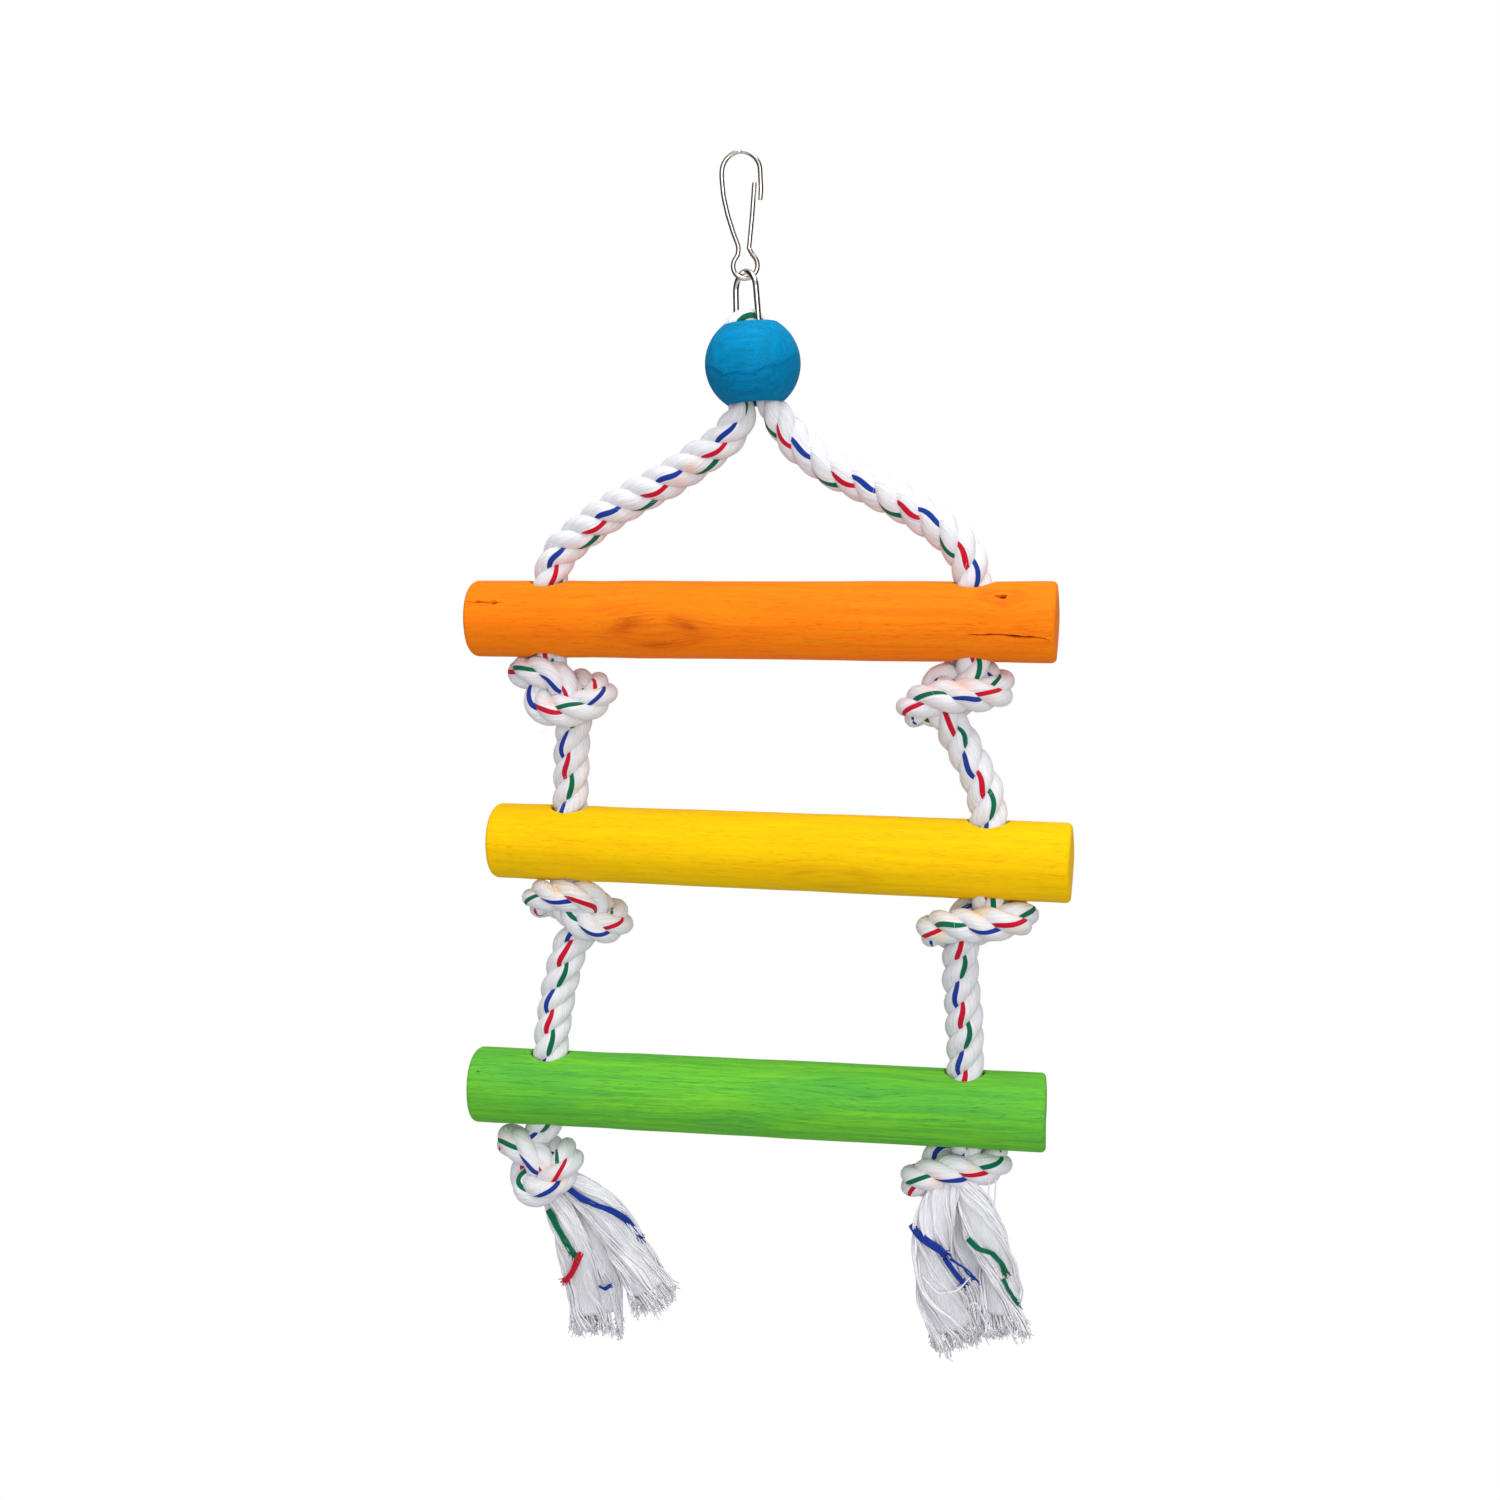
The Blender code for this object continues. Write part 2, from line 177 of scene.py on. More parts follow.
class Skin:
    """Gathers rings of points into one mesh, with named values for each point."""

    def __init__(self):
        self.points, self.corners, self.starts, self.values = [], [], [], {}
        self.count, self.corner_count = 0, 0

    def add_faces(self, corners):
        self.corners.append(corners.reshape(-1))
        self.starts.append(self.corner_count + np.arange(len(corners)) * corners.shape[1])
        self.corner_count += corners.size

    def add_points(self, points, values):
        self.points.append(points)
        for name, value in values.items():
            self.values.setdefault(name, []).append(value)
        self.count += len(points)

    def tube(self, rings, closed=False, **values):
        """Skins rings, an array of rings x sides x 3, with values of rings x sides x any number each."""
        n, sides = rings.shape[:2]
        index = self.count + np.arange(n * sides).reshape(n, sides)
        if closed:
            index = np.vstack([index, index[:1]])
        turned = np.roll(index, -1, axis=1)
        self.add_faces(np.stack([index[:-1], turned[:-1], turned[1:], index[1:]], axis=-1).reshape(-1, 4))
        self.add_points(rings.reshape(-1, 3), {k: v.reshape(n * sides, -1) for k, v in values.items()})
        if not closed:
            self.cap(rings[0], index[0][::-1], {k: v[0] for k, v in values.items()})
            self.cap(rings[-1], index[-1], {k: v[-1] for k, v in values.items()})

    def cap(self, ring, row, values):
        hub = np.full(len(row), self.count)
        self.add_points(ring.mean(axis=0)[None], {k: v.mean(axis=0)[None] for k, v in values.items()})
        self.add_faces(np.stack([row, np.roll(row, -1), hub], axis=-1))

    def mesh(self, name):
        data = bpy.data.meshes.new(name)
        points, corners = np.concatenate(self.points) * MM, np.concatenate(self.corners)
        data.vertices.add(len(points))
        data.vertices.foreach_set("co", points.astype(np.float32).reshape(-1))
        data.loops.add(len(corners))
        data.loops.foreach_set("vertex_index", corners.astype(np.int32))
        data.polygons.add(sum(len(s) for s in self.starts))
        data.polygons.foreach_set("loop_start", np.concatenate(self.starts).astype(np.int32))
        data.update(calc_edges=True)
        data.shade_smooth()
        for value_name, parts in self.values.items():
            paint(data, value_name, np.concatenate(parts))
        return data


def paint(data, name, values):
    """Stores one to four numbers for each point of a mesh, for its material to read."""
    kind, field = {
        1: ("FLOAT", "value"), 3: ("FLOAT_VECTOR", "vector"), 4: ("FLOAT_COLOR", "color"),
    }[values.shape[1]]
    layer = data.attributes.new(name, kind, "POINT")
    layer.data.foreach_set(field, values.astype(np.float32).reshape(-1))


def add_object(name, data):
    made = bpy.data.objects.new(name, data)
    bpy.context.scene.collection.objects.link(made)
    return made


def place(data, name, material, body, replaced, matrix=None):
    """Puts a mesh in the scene as a piece that rides a body and stands for CAD nodes."""
    piece = add_object(name, data)
    if matrix is not None:
        piece.matrix_world = matrix
    data.materials.append(material)
    if body:
        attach(piece, body)
    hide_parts(*replaced)
    return piece


# ---------------- curves

def unit(v):
    return v / np.maximum(np.linalg.norm(v, axis=-1, keepdims=True), 1e-12)


def arc_lengths(points):
    return np.concatenate([[0], np.cumsum(np.linalg.norm(np.diff(points[:, :3], axis=0), axis=1))])


def resample(points, count):
    along = arc_lengths(points)
    at = np.linspace(0, along[-1], count)
    return np.stack([np.interp(at, along, column) for column in points.T], axis=1)


def eased(points, step, passes):
    """A polyline cut into even steps with rounded corners. Columns after x, y, z are eased with it."""
    points = np.asarray(points, float)
    out = resample(points, max(4, int(arc_lengths(points)[-1] / step) + 1))
    for _ in range(passes):
        out[1:-1] = (out[:-2] + 2 * out[1:-1] + out[2:]) / 4
    return resample(out, len(out))


def carried(points, start=FRONT):
    """The tangents of a curve, and two directions across it that turn as little as they can along it."""
    tangents = unit(np.gradient(points, axis=0))
    across = np.zeros_like(points)
    now = np.array(start, float)
    for i, t in enumerate(tangents):
        now = now - now.dot(t) * t
        now /= np.linalg.norm(now)
        across[i] = now
    return tangents, across, np.cross(tangents, across)


def ring_angles(sides):
    return np.linspace(0, 2 * math.pi, sides, endpoint=False)


def sections(centres, tangents, across, radii, sides):
    """Rings square to the tangents, with each ring's angle measured from its across direction."""
    first = unit(across - (across * tangents).sum(axis=1, keepdims=True) * tangents)
    second = np.cross(tangents, first)
    turn = ring_angles(sides)
    spokes = np.cos(turn)[None, :, None] * first[:, None] + np.sin(turn)[None, :, None] * second[:, None]
    radii = np.asarray(radii, float)
    if radii.ndim == 1:
        radii = radii[:, None]
    return centres[:, None] + np.broadcast_to(radii, spokes.shape[:2])[:, :, None] * spokes


def surface_places(rings, radius, along):
    """Coordinates round and along a tube, for its material's fibres to follow."""
    turn = ring_angles(rings.shape[1])
    out = np.zeros(rings.shape)
    out[:, :, 0] = radius * np.cos(turn)
    out[:, :, 1] = radius * np.sin(turn)
    out[:, :, 2] = along[:, None]
    return out


def wander(random, count, length):
    """A smooth random line of count values about 0, with bends about length values apart."""
    knots = random.normal(size=int(count / length) + 4)
    at = np.linspace(0, len(knots) - 1.001, count)
    i = at.astype(int)
    f = (at - i) ** 2 * (3 - 2 * (at - i))
    return knots[i] * (1 - f) + knots[i + 1] * f


# ---------------- rope

def push_apart(line, diameter, skip):
    """Moves the points of a line away from others that are nearer than a diameter but not next to them."""
    index = np.arange(len(line))
    far_along = np.abs(index[:, None] - index[None]) >= skip
    for _ in range(3):
        between = line[:, None] - line[None]
        distance = np.linalg.norm(between, axis=2)
        touching = far_along & (distance < diameter)
        if not touching.any():
            return
        push = np.where(touching, (diameter - distance) / np.maximum(distance, 1e-9) / 2, 0)
        shift = (push[:, :, None] * between).sum(axis=1) / np.maximum(touching.sum(axis=1), 1)[:, None]
        line[1:-1] += shift[1:-1]


def tied_knot(diameter=8.4, reach=90.0, count=130, steps=1100):
    """The middle line of a tight overhand knot about the origin, from its top end down.

    A loose long knot is pulled short between two fixed ends, and pushed apart where it touches itself.
    """
    t = np.linspace(2.25, -2.25, 400)
    loose = np.stack([3 * t - t ** 3, t ** 4 - 4 * t ** 2, 0.55 * (t ** 5 - 10 * t)], axis=1) * 5.2
    line = resample(np.vstack([[[0, 0, reach]], loose, [[0, 0, -reach]]]), count)
    for step in range(steps):
        if step % 10 == 0:
            line = resample(line, count)
            skip = math.ceil(1.45 * diameter / (arc_lengths(line)[-1] / (count - 1)))
        line[1:-1] += 0.35 * ((line[:-2] + line[2:]) / 2 - line[1:-1])
        push_apart(line, diameter, skip)
    return line


def turned_knot(tied, label):
    """The tied knot turned and sized as one of the ladder's knots, about its own middle."""
    view, tilt, size, rise = KNOTS[label]
    a, b = math.radians(view), math.radians(tilt)
    core = tied[np.abs(tied[:, 2]) < KNOT_HALF_HEIGHT]
    x = core[:, 0] * math.cos(a) + core[:, 1] * math.sin(a)
    y = core[:, 1] * math.cos(a) - core[:, 0] * math.sin(a)
    z = core[:, 2]
    line = np.stack([x * math.cos(b) + z * math.sin(b), y, z * math.cos(b) - x * math.sin(b)], axis=1)
    low, high = line.min(axis=0), line.max(axis=0)
    across, up, deep = size
    room = np.array([across, deep, up]) - 2 * KNOT_ROPE_R
    middle = node_middle(f"knot_{label}") + rise * UP
    return middle + (line - (low + high) / 2) * room / np.maximum(high - low, 1e-6)


def keep_off_rung(knot, number, side):
    """Moves a knot's line out of its rung, and keeps the part that comes from the hole inside the hole."""
    middle, along, _ = rung_axis(f"rung_{number}")
    start = len(knot) // 9
    hole = rung_hole(number, side)
    aside = knot[:start, :2] - hole[:2]
    below = np.clip(hole[2] - RUNG_R - knot[:start, 2], 0, None)
    room = (0.4 + 1.2 * below) / np.maximum(np.linalg.norm(aside, axis=1), 1e-6)
    knot[:start, :2] = hole[:2] + aside * np.minimum(1, room)[:, None]
    from_axis = knot - middle
    from_axis -= (from_axis @ along)[:, None] * along
    distance = np.linalg.norm(from_axis, axis=1)
    short = np.clip(RUNG_R + 0.92 * KNOT_ROPE_R - distance, 0, None)
    short[:start] = 0
    knot += (short / distance)[:, None] * from_axis


def level_route(tied, label):
    """A leg's middle line and squeeze, from inside a rung's hole through its knot to the next rung's."""
    number, side = label.split("_")
    at = rung_hole(number, side)
    knot = turned_knot(tied, label)
    keep_off_rung(knot, number, side)
    squeezed = KNOT_ROPE_R / ROPE_R
    points = [[*(at + UP), 0.95], [*(at - 6 * UP), 0.93]]
    points += [[*p, squeezed] for p in knot]
    if label in SPANS:
        foot_x, free = SPANS[label]
        below = rung_hole(int(number) + 1, side)
        foot = knot[:, 2].min() - 3.0
        points.append([foot_x, at[1], foot, 0.97])
        share = np.linspace(0.2, 1, len(free))
        points += [[x, at[1] + (below[1] - at[1]) * s, z, 1.0] for s, (x, z) in zip(share, free)]
        points += [[*(below + 6 * UP), 0.98], [*(below - 4 * UP), 0.96]]
    else:
        points.append([*TASSEL_ROOTS[side], 0.8])
    return eased(points, 1.3, 4)


def front_side(first, second):
    """The side of a rope that faces the front, as an angle in its own frame, changing smoothly along it."""
    window = np.hanning(27)
    x, y = (np.convolve(direction @ FRONT, window, "same") for direction in (first, second))
    return np.unwrap(np.arctan2(y, x))


def lay_rope(skin, route, phase, facing, spread, stains=(), seed=0):
    """Adds three laid strands along a route of x, y, z, squeeze, with their stray fibres.

    A strand's rings turn back against the lay, as its yarns do, so that a yarn runs along the rope and comes
    to the surface on one side of it. facing, with spread for each strand, is the side on which the dyed yarn
    comes up, in radians round the rope from its front. phase and facing hold values for even steps along it.
    """
    random = np.random.default_rng(seed)
    route = resample(route, int(arc_lengths(route)[-1] / RING_STEP))
    centre, squeeze = route[:, :3], route[:, 3]
    _, across, other = carried(centre)
    along = arc_lengths(centre)
    count, turn = len(along), ring_angles(STRAND_SIDES)
    share = along / along[-1]
    phase, facing = (np.interp(share, np.linspace(0, 1, len(steps)), steps) for steps in (phase, facing))
    shown = front_side(across, other) + facing
    for strand, dye in enumerate(STRAND_DYES):
        lay = phase + 2 * math.pi * (along / LAY + strand / 3)
        outward = np.cos(lay)[:, None] * across + np.sin(lay)[:, None] * other
        back = np.cos(-lay)[:, None] * across + np.sin(-lay)[:, None] * other
        reach = HELIX_R * squeeze * (1 + 0.03 * wander(random, count, 14))
        middle = centre + reach[:, None] * outward
        direction = unit(np.gradient(middle, axis=0))
        plump = STRAND_R * squeeze * (1 + 0.02 * wander(random, count, 9))
        from_dye = turn - 2 * (shown[:, None] + spread[strand])
        from_dye = np.abs((from_dye + math.pi) % (2 * math.pi) - math.pi)
        raised = 0.02 * (from_dye < TRACER_HALF_WIDTH)
        radii = plump[:, None] * (1 + 0.018 * np.cos(9 * turn) + raised)
        rings = sections(middle, direction, back, radii, STRAND_SIDES)
        yarn = surface_places(rings, STRAND_R, along + 70 * strand)
        tint = np.zeros((*rings.shape[:2], 4))
        tint[:, :, :3] = dye
        tint[:, :, 3] = 1 - from_dye / math.pi
        skin.tube(rings, yarn=yarn, tint=tint, stain=stained(rings, stains))
        add_fuzz(skin, random, rings, middle, direction, int(FUZZ * along[-1] / 3))


def stained(rings, stains):
    """The dye that has rubbed off on a rope near some places, each a centre, a reach and a colour."""
    out = np.zeros((*rings.shape[:2], 4))
    for centre, reach, colour in stains:
        near = np.exp(-(np.linalg.norm(rings - np.array(centre, float), axis=2) / reach) ** 2)
        stronger = near > out[:, :, 3]
        out[stronger, :3] = colour
        out[:, :, 3] = np.maximum(out[:, :, 3], near)
    return out


def add_fuzz(skin, random, rings, middle, direction, count):
    """Fine stray fibres that leave the surface of a strand and bend along it."""
    rows = random.integers(2, len(rings) - 2, count)
    columns = random.integers(0, rings.shape[1], count)
    for row, column in zip(rows, columns):
        foot = rings[row, column]
        out = unit(foot - middle[row])
        sideways = np.cross(out, direction[row])
        lean = direction[row] * random.choice([-1, 1]) + sideways * random.normal(0, 0.5)
        length = random.uniform(1.2, 3.2)
        t = np.linspace(0, 1, 5)[:, None]
        rise = out * t * length * random.uniform(0.15, 0.5)
        path = foot - out * 0.1 + rise + lean * t ** 1.5 * length * 0.8
        add_thread(skin, path, np.array([0.035, 0.035, 0.03, 0.025, 0.015]), 3)


def add_thread(skin, path, radius, sides, colour=None):
    """A thin round thread, undyed unless it has a colour."""
    tangents, across, _ = carried(path, start=(0.31, -0.87, 0.37))
    rings = sections(path, tangents, across, radius, sides)
    shape = rings.shape[:2]
    tint = np.zeros((*shape, 4))
    if colour is not None:
        tint[:] = [*colour, 1.0]
    yarn = np.zeros((*shape, 3))
    yarn[:, :, 2] = arc_lengths(path)[:, None]
    yarn[:, :, 0] = path[0, 0]
    skin.tube(rings, yarn=yarn, tint=tint, stain=np.zeros((*shape, 4)))


def bight():
    """The link's lower wire's place, the rope's heading over it, and its route there as x, y, z, squeeze."""
    wire = joint_place("ladder_swing")
    along = unit(np.cross(UP, joint("ladder_swing")["axis"]))
    along = along if along[0] > 0 else -along
    out = []
    for a in np.linspace(math.pi, 0, 13):
        radius = 2.9 + 1.9 * math.sin(a) ** 1.1
        at = wire + (0.8 + radius) * (math.cos(a) * along + 1.12 * math.sin(a) * UP)
        out.append([*at, radius / ROPE_R])
    return wire, along, out


def bore_leg(wire, along, side):
    """One leg down the bead's bore, turning from the bight's heading to the ladder's."""
    middle = node_middle("bead")
    slope = np.array(joint("bead_slide")["axis"])
    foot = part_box("bead")[0].z / MM
    out = []
    for t in np.linspace(0.2, 1, 5):
        z = wire[2] + (foot - wire[2]) * t
        centre = wire * (1 - t) + (middle + slope * (z - middle[2]) / slope[2]) * t
        turn = math.atan2(along[1], along[0]) * (1 - t * t * (3 - 2 * t))
        reach = 3.3 + 0.3 * t
        out.append([centre[0] + side * reach * math.cos(turn), centre[1] + side * reach * math.sin(turn), z,
                    0.6 + 0.1 * t])
    return out


def upper_leg(points, side):
    at = rung_hole(1, side)
    free = [[x, at[1] * i / len(points), z, min(1.0, 0.88 + 0.06 * i)] for i, (x, z) in enumerate(points)]
    return free + [[*(at + 9.5 * UP), 0.98], [*at, 0.96], [*(at - 4 * UP), 0.95]]


def make_rope_over_link(cotton):
    wire, along, arch = bight()
    left = bore_leg(wire, along, -1) + upper_leg(UPPER_LEFT, "left")
    right = bore_leg(wire, along, 1) + upper_leg(UPPER_RIGHT, "right")
    route = eased(left[::-1] + arch + right, 1.0, 3)
    skin = Skin()
    stains = [((-12.2, -5, -77.7), 2.2, (0.9, 0.35, 0.12)), ((-14.7, -5, -81), 2.2, (0.9, 0.42, 0.12))]
    # The lay shifts inside the bead, where it is hidden, to suit the dyed yarns of both legs.
    phase = 4 * (-0.7,) + 5 * (-2.65,)
    facing = (0.1, 0.1, 0.1, 0.0, -1.5, 0.1, 0.0, -0.3, -0.5)
    lay_rope(skin, route, phase, facing, (0.0, 0.35, 0.95), stains=stains, seed=1)
    name = "rope_over_link"
    place(skin.mesh(name), name, cotton, "ladder_top", ["rope_top_loop"])


# The phase of the lay and the side that the dyed yarns show on, for the leg under each knot.
LEG_LOOKS = {
    "1_left": (1.9, 0.0), "1_right": (2.6, 0.1), "2_left": (2.9, 0.0),
    "2_right": (0.2, 0.0), "3_left": (1.0, 0.0), "3_right": (2.6, 0.0),
}
# The dye that each rung rubs off on the rope.
WOOD_DYES = {"1": (0.95, 0.35, 0.10), "2": (0.95, 0.6, 0.10), "3": (0.95, 0.55, 0.35)}


def make_leg(tied, label, cotton, seed):
    """A leg's rope, from inside a rung's hole through its knot to the next rung's hole or its tassel."""
    number, side = label.split("_")
    route = level_route(tied, label)[::-1]
    at = rung_hole(number, side)
    phase, facing = LEG_LOOKS[label]
    random = np.random.default_rng(seed)
    rub = at - 11 * UP
    stains = []
    for _ in range(4):
        spot = rub + random.uniform((-12, -9, -12), (12, -7, 0))
        stains.append((spot, random.uniform(1.5, 2.6), WOOD_DYES[number]))
    skin = Skin()
    lay_rope(skin, route, (phase,), (facing,), (-0.25, 0.0, 0.3), stains=stains, seed=seed)
    name = f"rope_{label}"
    if label not in SPANS:
        return place(skin.mesh(name), name, cotton, "ladder_bottom", [f"knot_{label}"])
    leg = place(skin.mesh(name), name, cotton, None, [f"knot_{label}", f"span_{label}"])
    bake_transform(leg)
    return leg


# ---------------- tassels

# Where a tassel's yarns come out of their knot.
TASSEL_ROOTS = {"left": (-50.0, -2.5, -266.0), "right": (57.2, 0.0, -259.5)}

# Each bundle of unlaid yarns: its twist in radians, and its route as x, y, z from the root, half width.
BUNDLES = {
    "left": [
        (-2.6, [
            (0, -1, 2.5, 2.6), (5.8, -2, -0.2, 3.6), (11.4, -2, -4, 4.7),
            (15.8, -1.5, -9.5, 5.4), (19, -0.5, -16, 5.5), (22.6, -0.5, -22, 5.6),
            (26.2, -0.5, -28.5, 6), (28, -0.5, -32.5, 6.4)]),
        (-2.4, [
            (0, 2.5, 1, 2.4), (4, 1.5, -4, 3.2), (8, 1, -12, 4.4),
            (10.5, 1.5, -21, 5), (12, 2.5, -29, 5.4), (11.5, 3, -41, 6)]),
        (-2.8, [
            (-1.5, -1.5, 1, 2.4), (0.5, -3, -4.5, 3.3), (3.8, -4, -11.5, 3.9),
            (6, -3.5, -19, 4.1), (7.4, -2, -27, 4.4), (8.5, -0.5, -36, 5),
            (9.4, 0, -41, 5.2)]),
    ],
    "right": [
        (-5.0, [
            (-1.7, -2.5, 2, 2.6), (-4.2, -4, -2.5, 4), (-6.4, -4.5, -9.5, 5.2),
            (-6, -4.5, -16.5, 4.4), (-5, -4.5, -24.5, 5.6), (-2.6, -3, -32.5, 6), (-0.2, -2, -42.5, 5.4)]),
        (-3.8, [
            (1.3, -2, 2, 2.4), (4.3, -3, -3.5, 4.2), (7.1, -3.5, -11, 5),
            (9.8, -3, -18.5, 4.2), (11.8, -2, -27.5, 4.8), (12.3, -1, -37.5, 6)]),
        (-2.6, [
            (-0.2, 2, 1.5, 2.4), (0.8, 2, -6.5, 4.2), (2.3, 2, -16.5, 5.2), (4.6, 2, -26.5, 5.6),
            (6.2, 1.5, -41.5, 6)]),
    ],
}

# The dyed yarns that show on them: a colour, how many yarns, their spacing, and their route in front.
DYED = {
    "left": [
        (BLUE, 5, 0.30, [
            (3.5, -4.7, 0.8), (8.2, -5.5, -1.8), (12.8, -5.7, -3.6), (16.8, -5.1, -4.8),
            (19.8, -3.7, -7.2), (22, -2.1, -10.6), (23.1, -1.1, -13.2)]),
        (GREEN, 6, 0.26, [
            (-0.9, -5.5, -5.8), (1.4, -6.5, -9), (3.8, -6.9, -13), (6.8, -6.5, -17.8)]),
        (RED, 5, 0.26, [
            (8.4, -6.5, -16.4), (7, -6.7, -20), (5.4, -6.1, -23.2), (3.2, -5.1, -25.6)]),
        (BLUE, 3, 0.22, [(12.4, -3.5, -26.6), (14.4, -3.9, -27.2), (15.6, -3.7, -26)]),
    ],
    "right": [
        (BLUE, 6, 0.32, [
            (-11.4, -5.4, -9.1), (-9.6, -7.2, -10.9), (-7, -8.4, -12.3), (-3.6, -8.8, -13.9),
            (-1.6, -8.8, -16.1)]),
        (BLUE, 4, 0.30, [(-2.6, -8.4, -16.1), (0, -8.2, -19.7), (2.8, -7.4, -23.9)]),
        (BLUE, 2, 0.5, [(-1.2, -8.2, -16.3), (2.8, -7.6, -19.1), (6, -7, -22.5)]),
        (GREEN, 5, 0.24, [
            (3.2, -7.4, -10.9), (5.6, -7.6, -13.3), (9, -7.2, -14.3), (11.6, -6.4, -17.1),
            (12.8, -5.4, -20.3)]),
        (GREEN, 3, 0.24, [(12, -6.2, -21.3), (13.8, -5.8, -24.7), (16, -5, -28.1)]),
    ],
}

# Single yarns that hang loose from the right knot or stand out of its tassel.
LOOSE = {
    "left": [],
    "right": [
        [(7.8, -3, 3.5), (7.9, -3.4, -2), (9, -3.6, -6.5), (9.6, -3.8, -11.5)],
        [(9.6, -3, 3.5), (9.4, -3.2, -2.5), (8.4, -3.6, -8), (9.2, -4.2, -13.5)],
        [(3.6, -8, -29.1), (4.2, -8.8, -27.1), (6, -8.8, -26.9), (6.4, -8.2, -29.5),
         (8.8, -7.2, -34.5)],
        [(-8.2, -8.4, -21.5), (-4.2, -9, -25.5), (0.8, -8.6, -24.5), (3.8, -7.6, -21.1)],
    ],
}
LOCKS, LOCK_YARNS, INNER_YARNS = 18, 5, 18
CORE_SIDES = 20
CORE_SHORT = 6  # rings that a bundle's core stops short of its end
INNER_RINGS = 9  # rings from the end at which the inner yarns start
YARN_R = 0.25
BUNDLE_DEPTH = 0.62  # of its half width


def yarn_path(line, sideways, behind, reach, angle, random, twist):
    """A yarn's path at one place in a bundle's section, with the crimp it keeps from the lay."""
    count = len(line)
    t = np.linspace(0, 1, count)
    turn = angle + twist * t ** 0.8
    width = line[:, 3] * reach * (1 + 0.07 * t * random.normal())
    path = line[:, :3] + (width * np.cos(turn))[:, None] * sideways
    path -= (BUNDLE_DEPTH * width * np.sin(turn))[:, None] * behind
    crimp = 0.16 * np.sin(2 * math.pi * (t * random.uniform(4, 6) + random.uniform()))
    path += (crimp + 0.55 * t * wander(random, count, 14))[:, None] * sideways
    path += (0.45 * t * wander(random, count, 14))[:, None] * behind
    return path


def fray(skin, random, path, colour=None):
    """The end of a yarn, opened into fine fibres."""
    tip, heading = path[-1], unit(path[-1] - path[-4])
    for _ in range(5):
        spread = random.normal(0, 0.24, 3)
        length = random.uniform(1.0, 2.2)
        t = np.linspace(0, 1, 5)[:, None]
        hair = tip - heading * 1.4 + (heading + spread) * t * length + random.normal(0, 0.45, 3) * t ** 2
        add_thread(skin, hair, np.linspace(0.20, 0.11, 5), 3, colour)


def add_core(skin, line, tangents, sideways, behind):
    """The inside of a bundle, as one flattened tube."""
    core = sections(line[:, :3], tangents, sideways, 1.0, CORE_SIDES)
    spokes = core - line[:, None, :3]
    depth = (spokes * behind[:, None]).sum(axis=2, keepdims=True)
    flat = spokes - (1 - BUNDLE_DEPTH) * depth * behind[:, None]
    core = (line[:, None, :3] + flat * line[:, None, 3:4] * 0.88)[:-CORE_SHORT]
    yarn = surface_places(core, 7, arc_lengths(line)[:-CORE_SHORT])
    plain = np.zeros((*core.shape[:2], 4))
    skin.tube(core, yarn=yarn, tint=plain, stain=plain)


def add_lock(skin, random, lock):
    """Yarns that keep together at the top of a lock and part towards its end."""
    loose = np.linspace(0.3, 0.9, len(lock))[:, None]
    for _ in range(LOCK_YARNS):
        aside = random.normal(0, 0.5, 3)
        aside = aside + 0.25 * np.stack([wander(random, len(lock), 9) for _ in range(3)], axis=1)
        path = (lock + loose * aside)[:len(lock) - random.integers(0, 3)]
        add_thread(skin, path, YARN_R * random.uniform(0.8, 1.15), 5)
        fray(skin, random, path)


def add_bundle(skin, random, root, twist, route):
    """One strand of the rope, unlaid: a core, locks of yarns round it, and the ends of the yarns inside."""
    line = eased(route, 1.0, 5) + [*root, 0]
    tangents, _, _ = carried(line[:, :3])
    sideways = unit(np.cross(tangents, FRONT))
    sideways *= np.sign(sideways[:, :1])
    behind = unit(np.cross(sideways, tangents))
    behind *= np.sign(behind[:, 1:2])
    add_core(skin, line, tangents, sideways, behind)
    for _ in range(LOCKS):
        reach, angle = random.uniform(0.86, 1.0), random.uniform(0, 2 * math.pi)
        lock = yarn_path(line, sideways, behind, reach, angle, random, twist)
        add_lock(skin, random, lock[:len(lock) - random.integers(0, 5)])
    for _ in range(INNER_YARNS):
        reach, angle = random.uniform(0.1, 0.8), random.uniform(0, 2 * math.pi)
        path = yarn_path(line, sideways, behind, reach, angle, random, twist)
        path = path[-INNER_RINGS:len(line) - random.integers(0, 3)]
        add_thread(skin, path, YARN_R, 5)
        fray(skin, random, path)


def add_dyed_yarns(skin, random, root, colour, count, spacing, route):
    """Yarns of one colour side by side, as they lie on the front of a tassel."""
    line = eased(route, 0.6, 3) + root
    tangents, _, _ = carried(line)
    beside = unit(np.cross(tangents, FRONT))
    for k in range(count):
        offset = spacing * (k - (count - 1) / 2) + 0.12 * wander(random, len(line), 7)
        path = line + offset[:, None] * beside + (0.1 * wander(random, len(line), 7))[:, None] * FRONT
        path = path[:len(path) - random.integers(0, 3)]
        add_thread(skin, path, YARN_R * 1.05, 6, colour)
        fray(skin, random, path, colour)


def make_tassel(side, cotton, seed):
    random = np.random.default_rng(seed)
    skin, root = Skin(), TASSEL_ROOTS[side]
    for bundle in BUNDLES[side]:
        add_bundle(skin, random, root, *bundle)
    for dyed in DYED[side]:
        add_dyed_yarns(skin, random, root, *dyed)
    for route in LOOSE[side]:
        add_thread(skin, eased(route, 0.6, 3) + root, YARN_R * 0.8, 6)
    name = f"unlaid_yarns_{side}"
    piece = place(skin.mesh(name), name, cotton, None, [f"tassel_{side}"])
    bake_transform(piece)


# ---------------- wooden parts

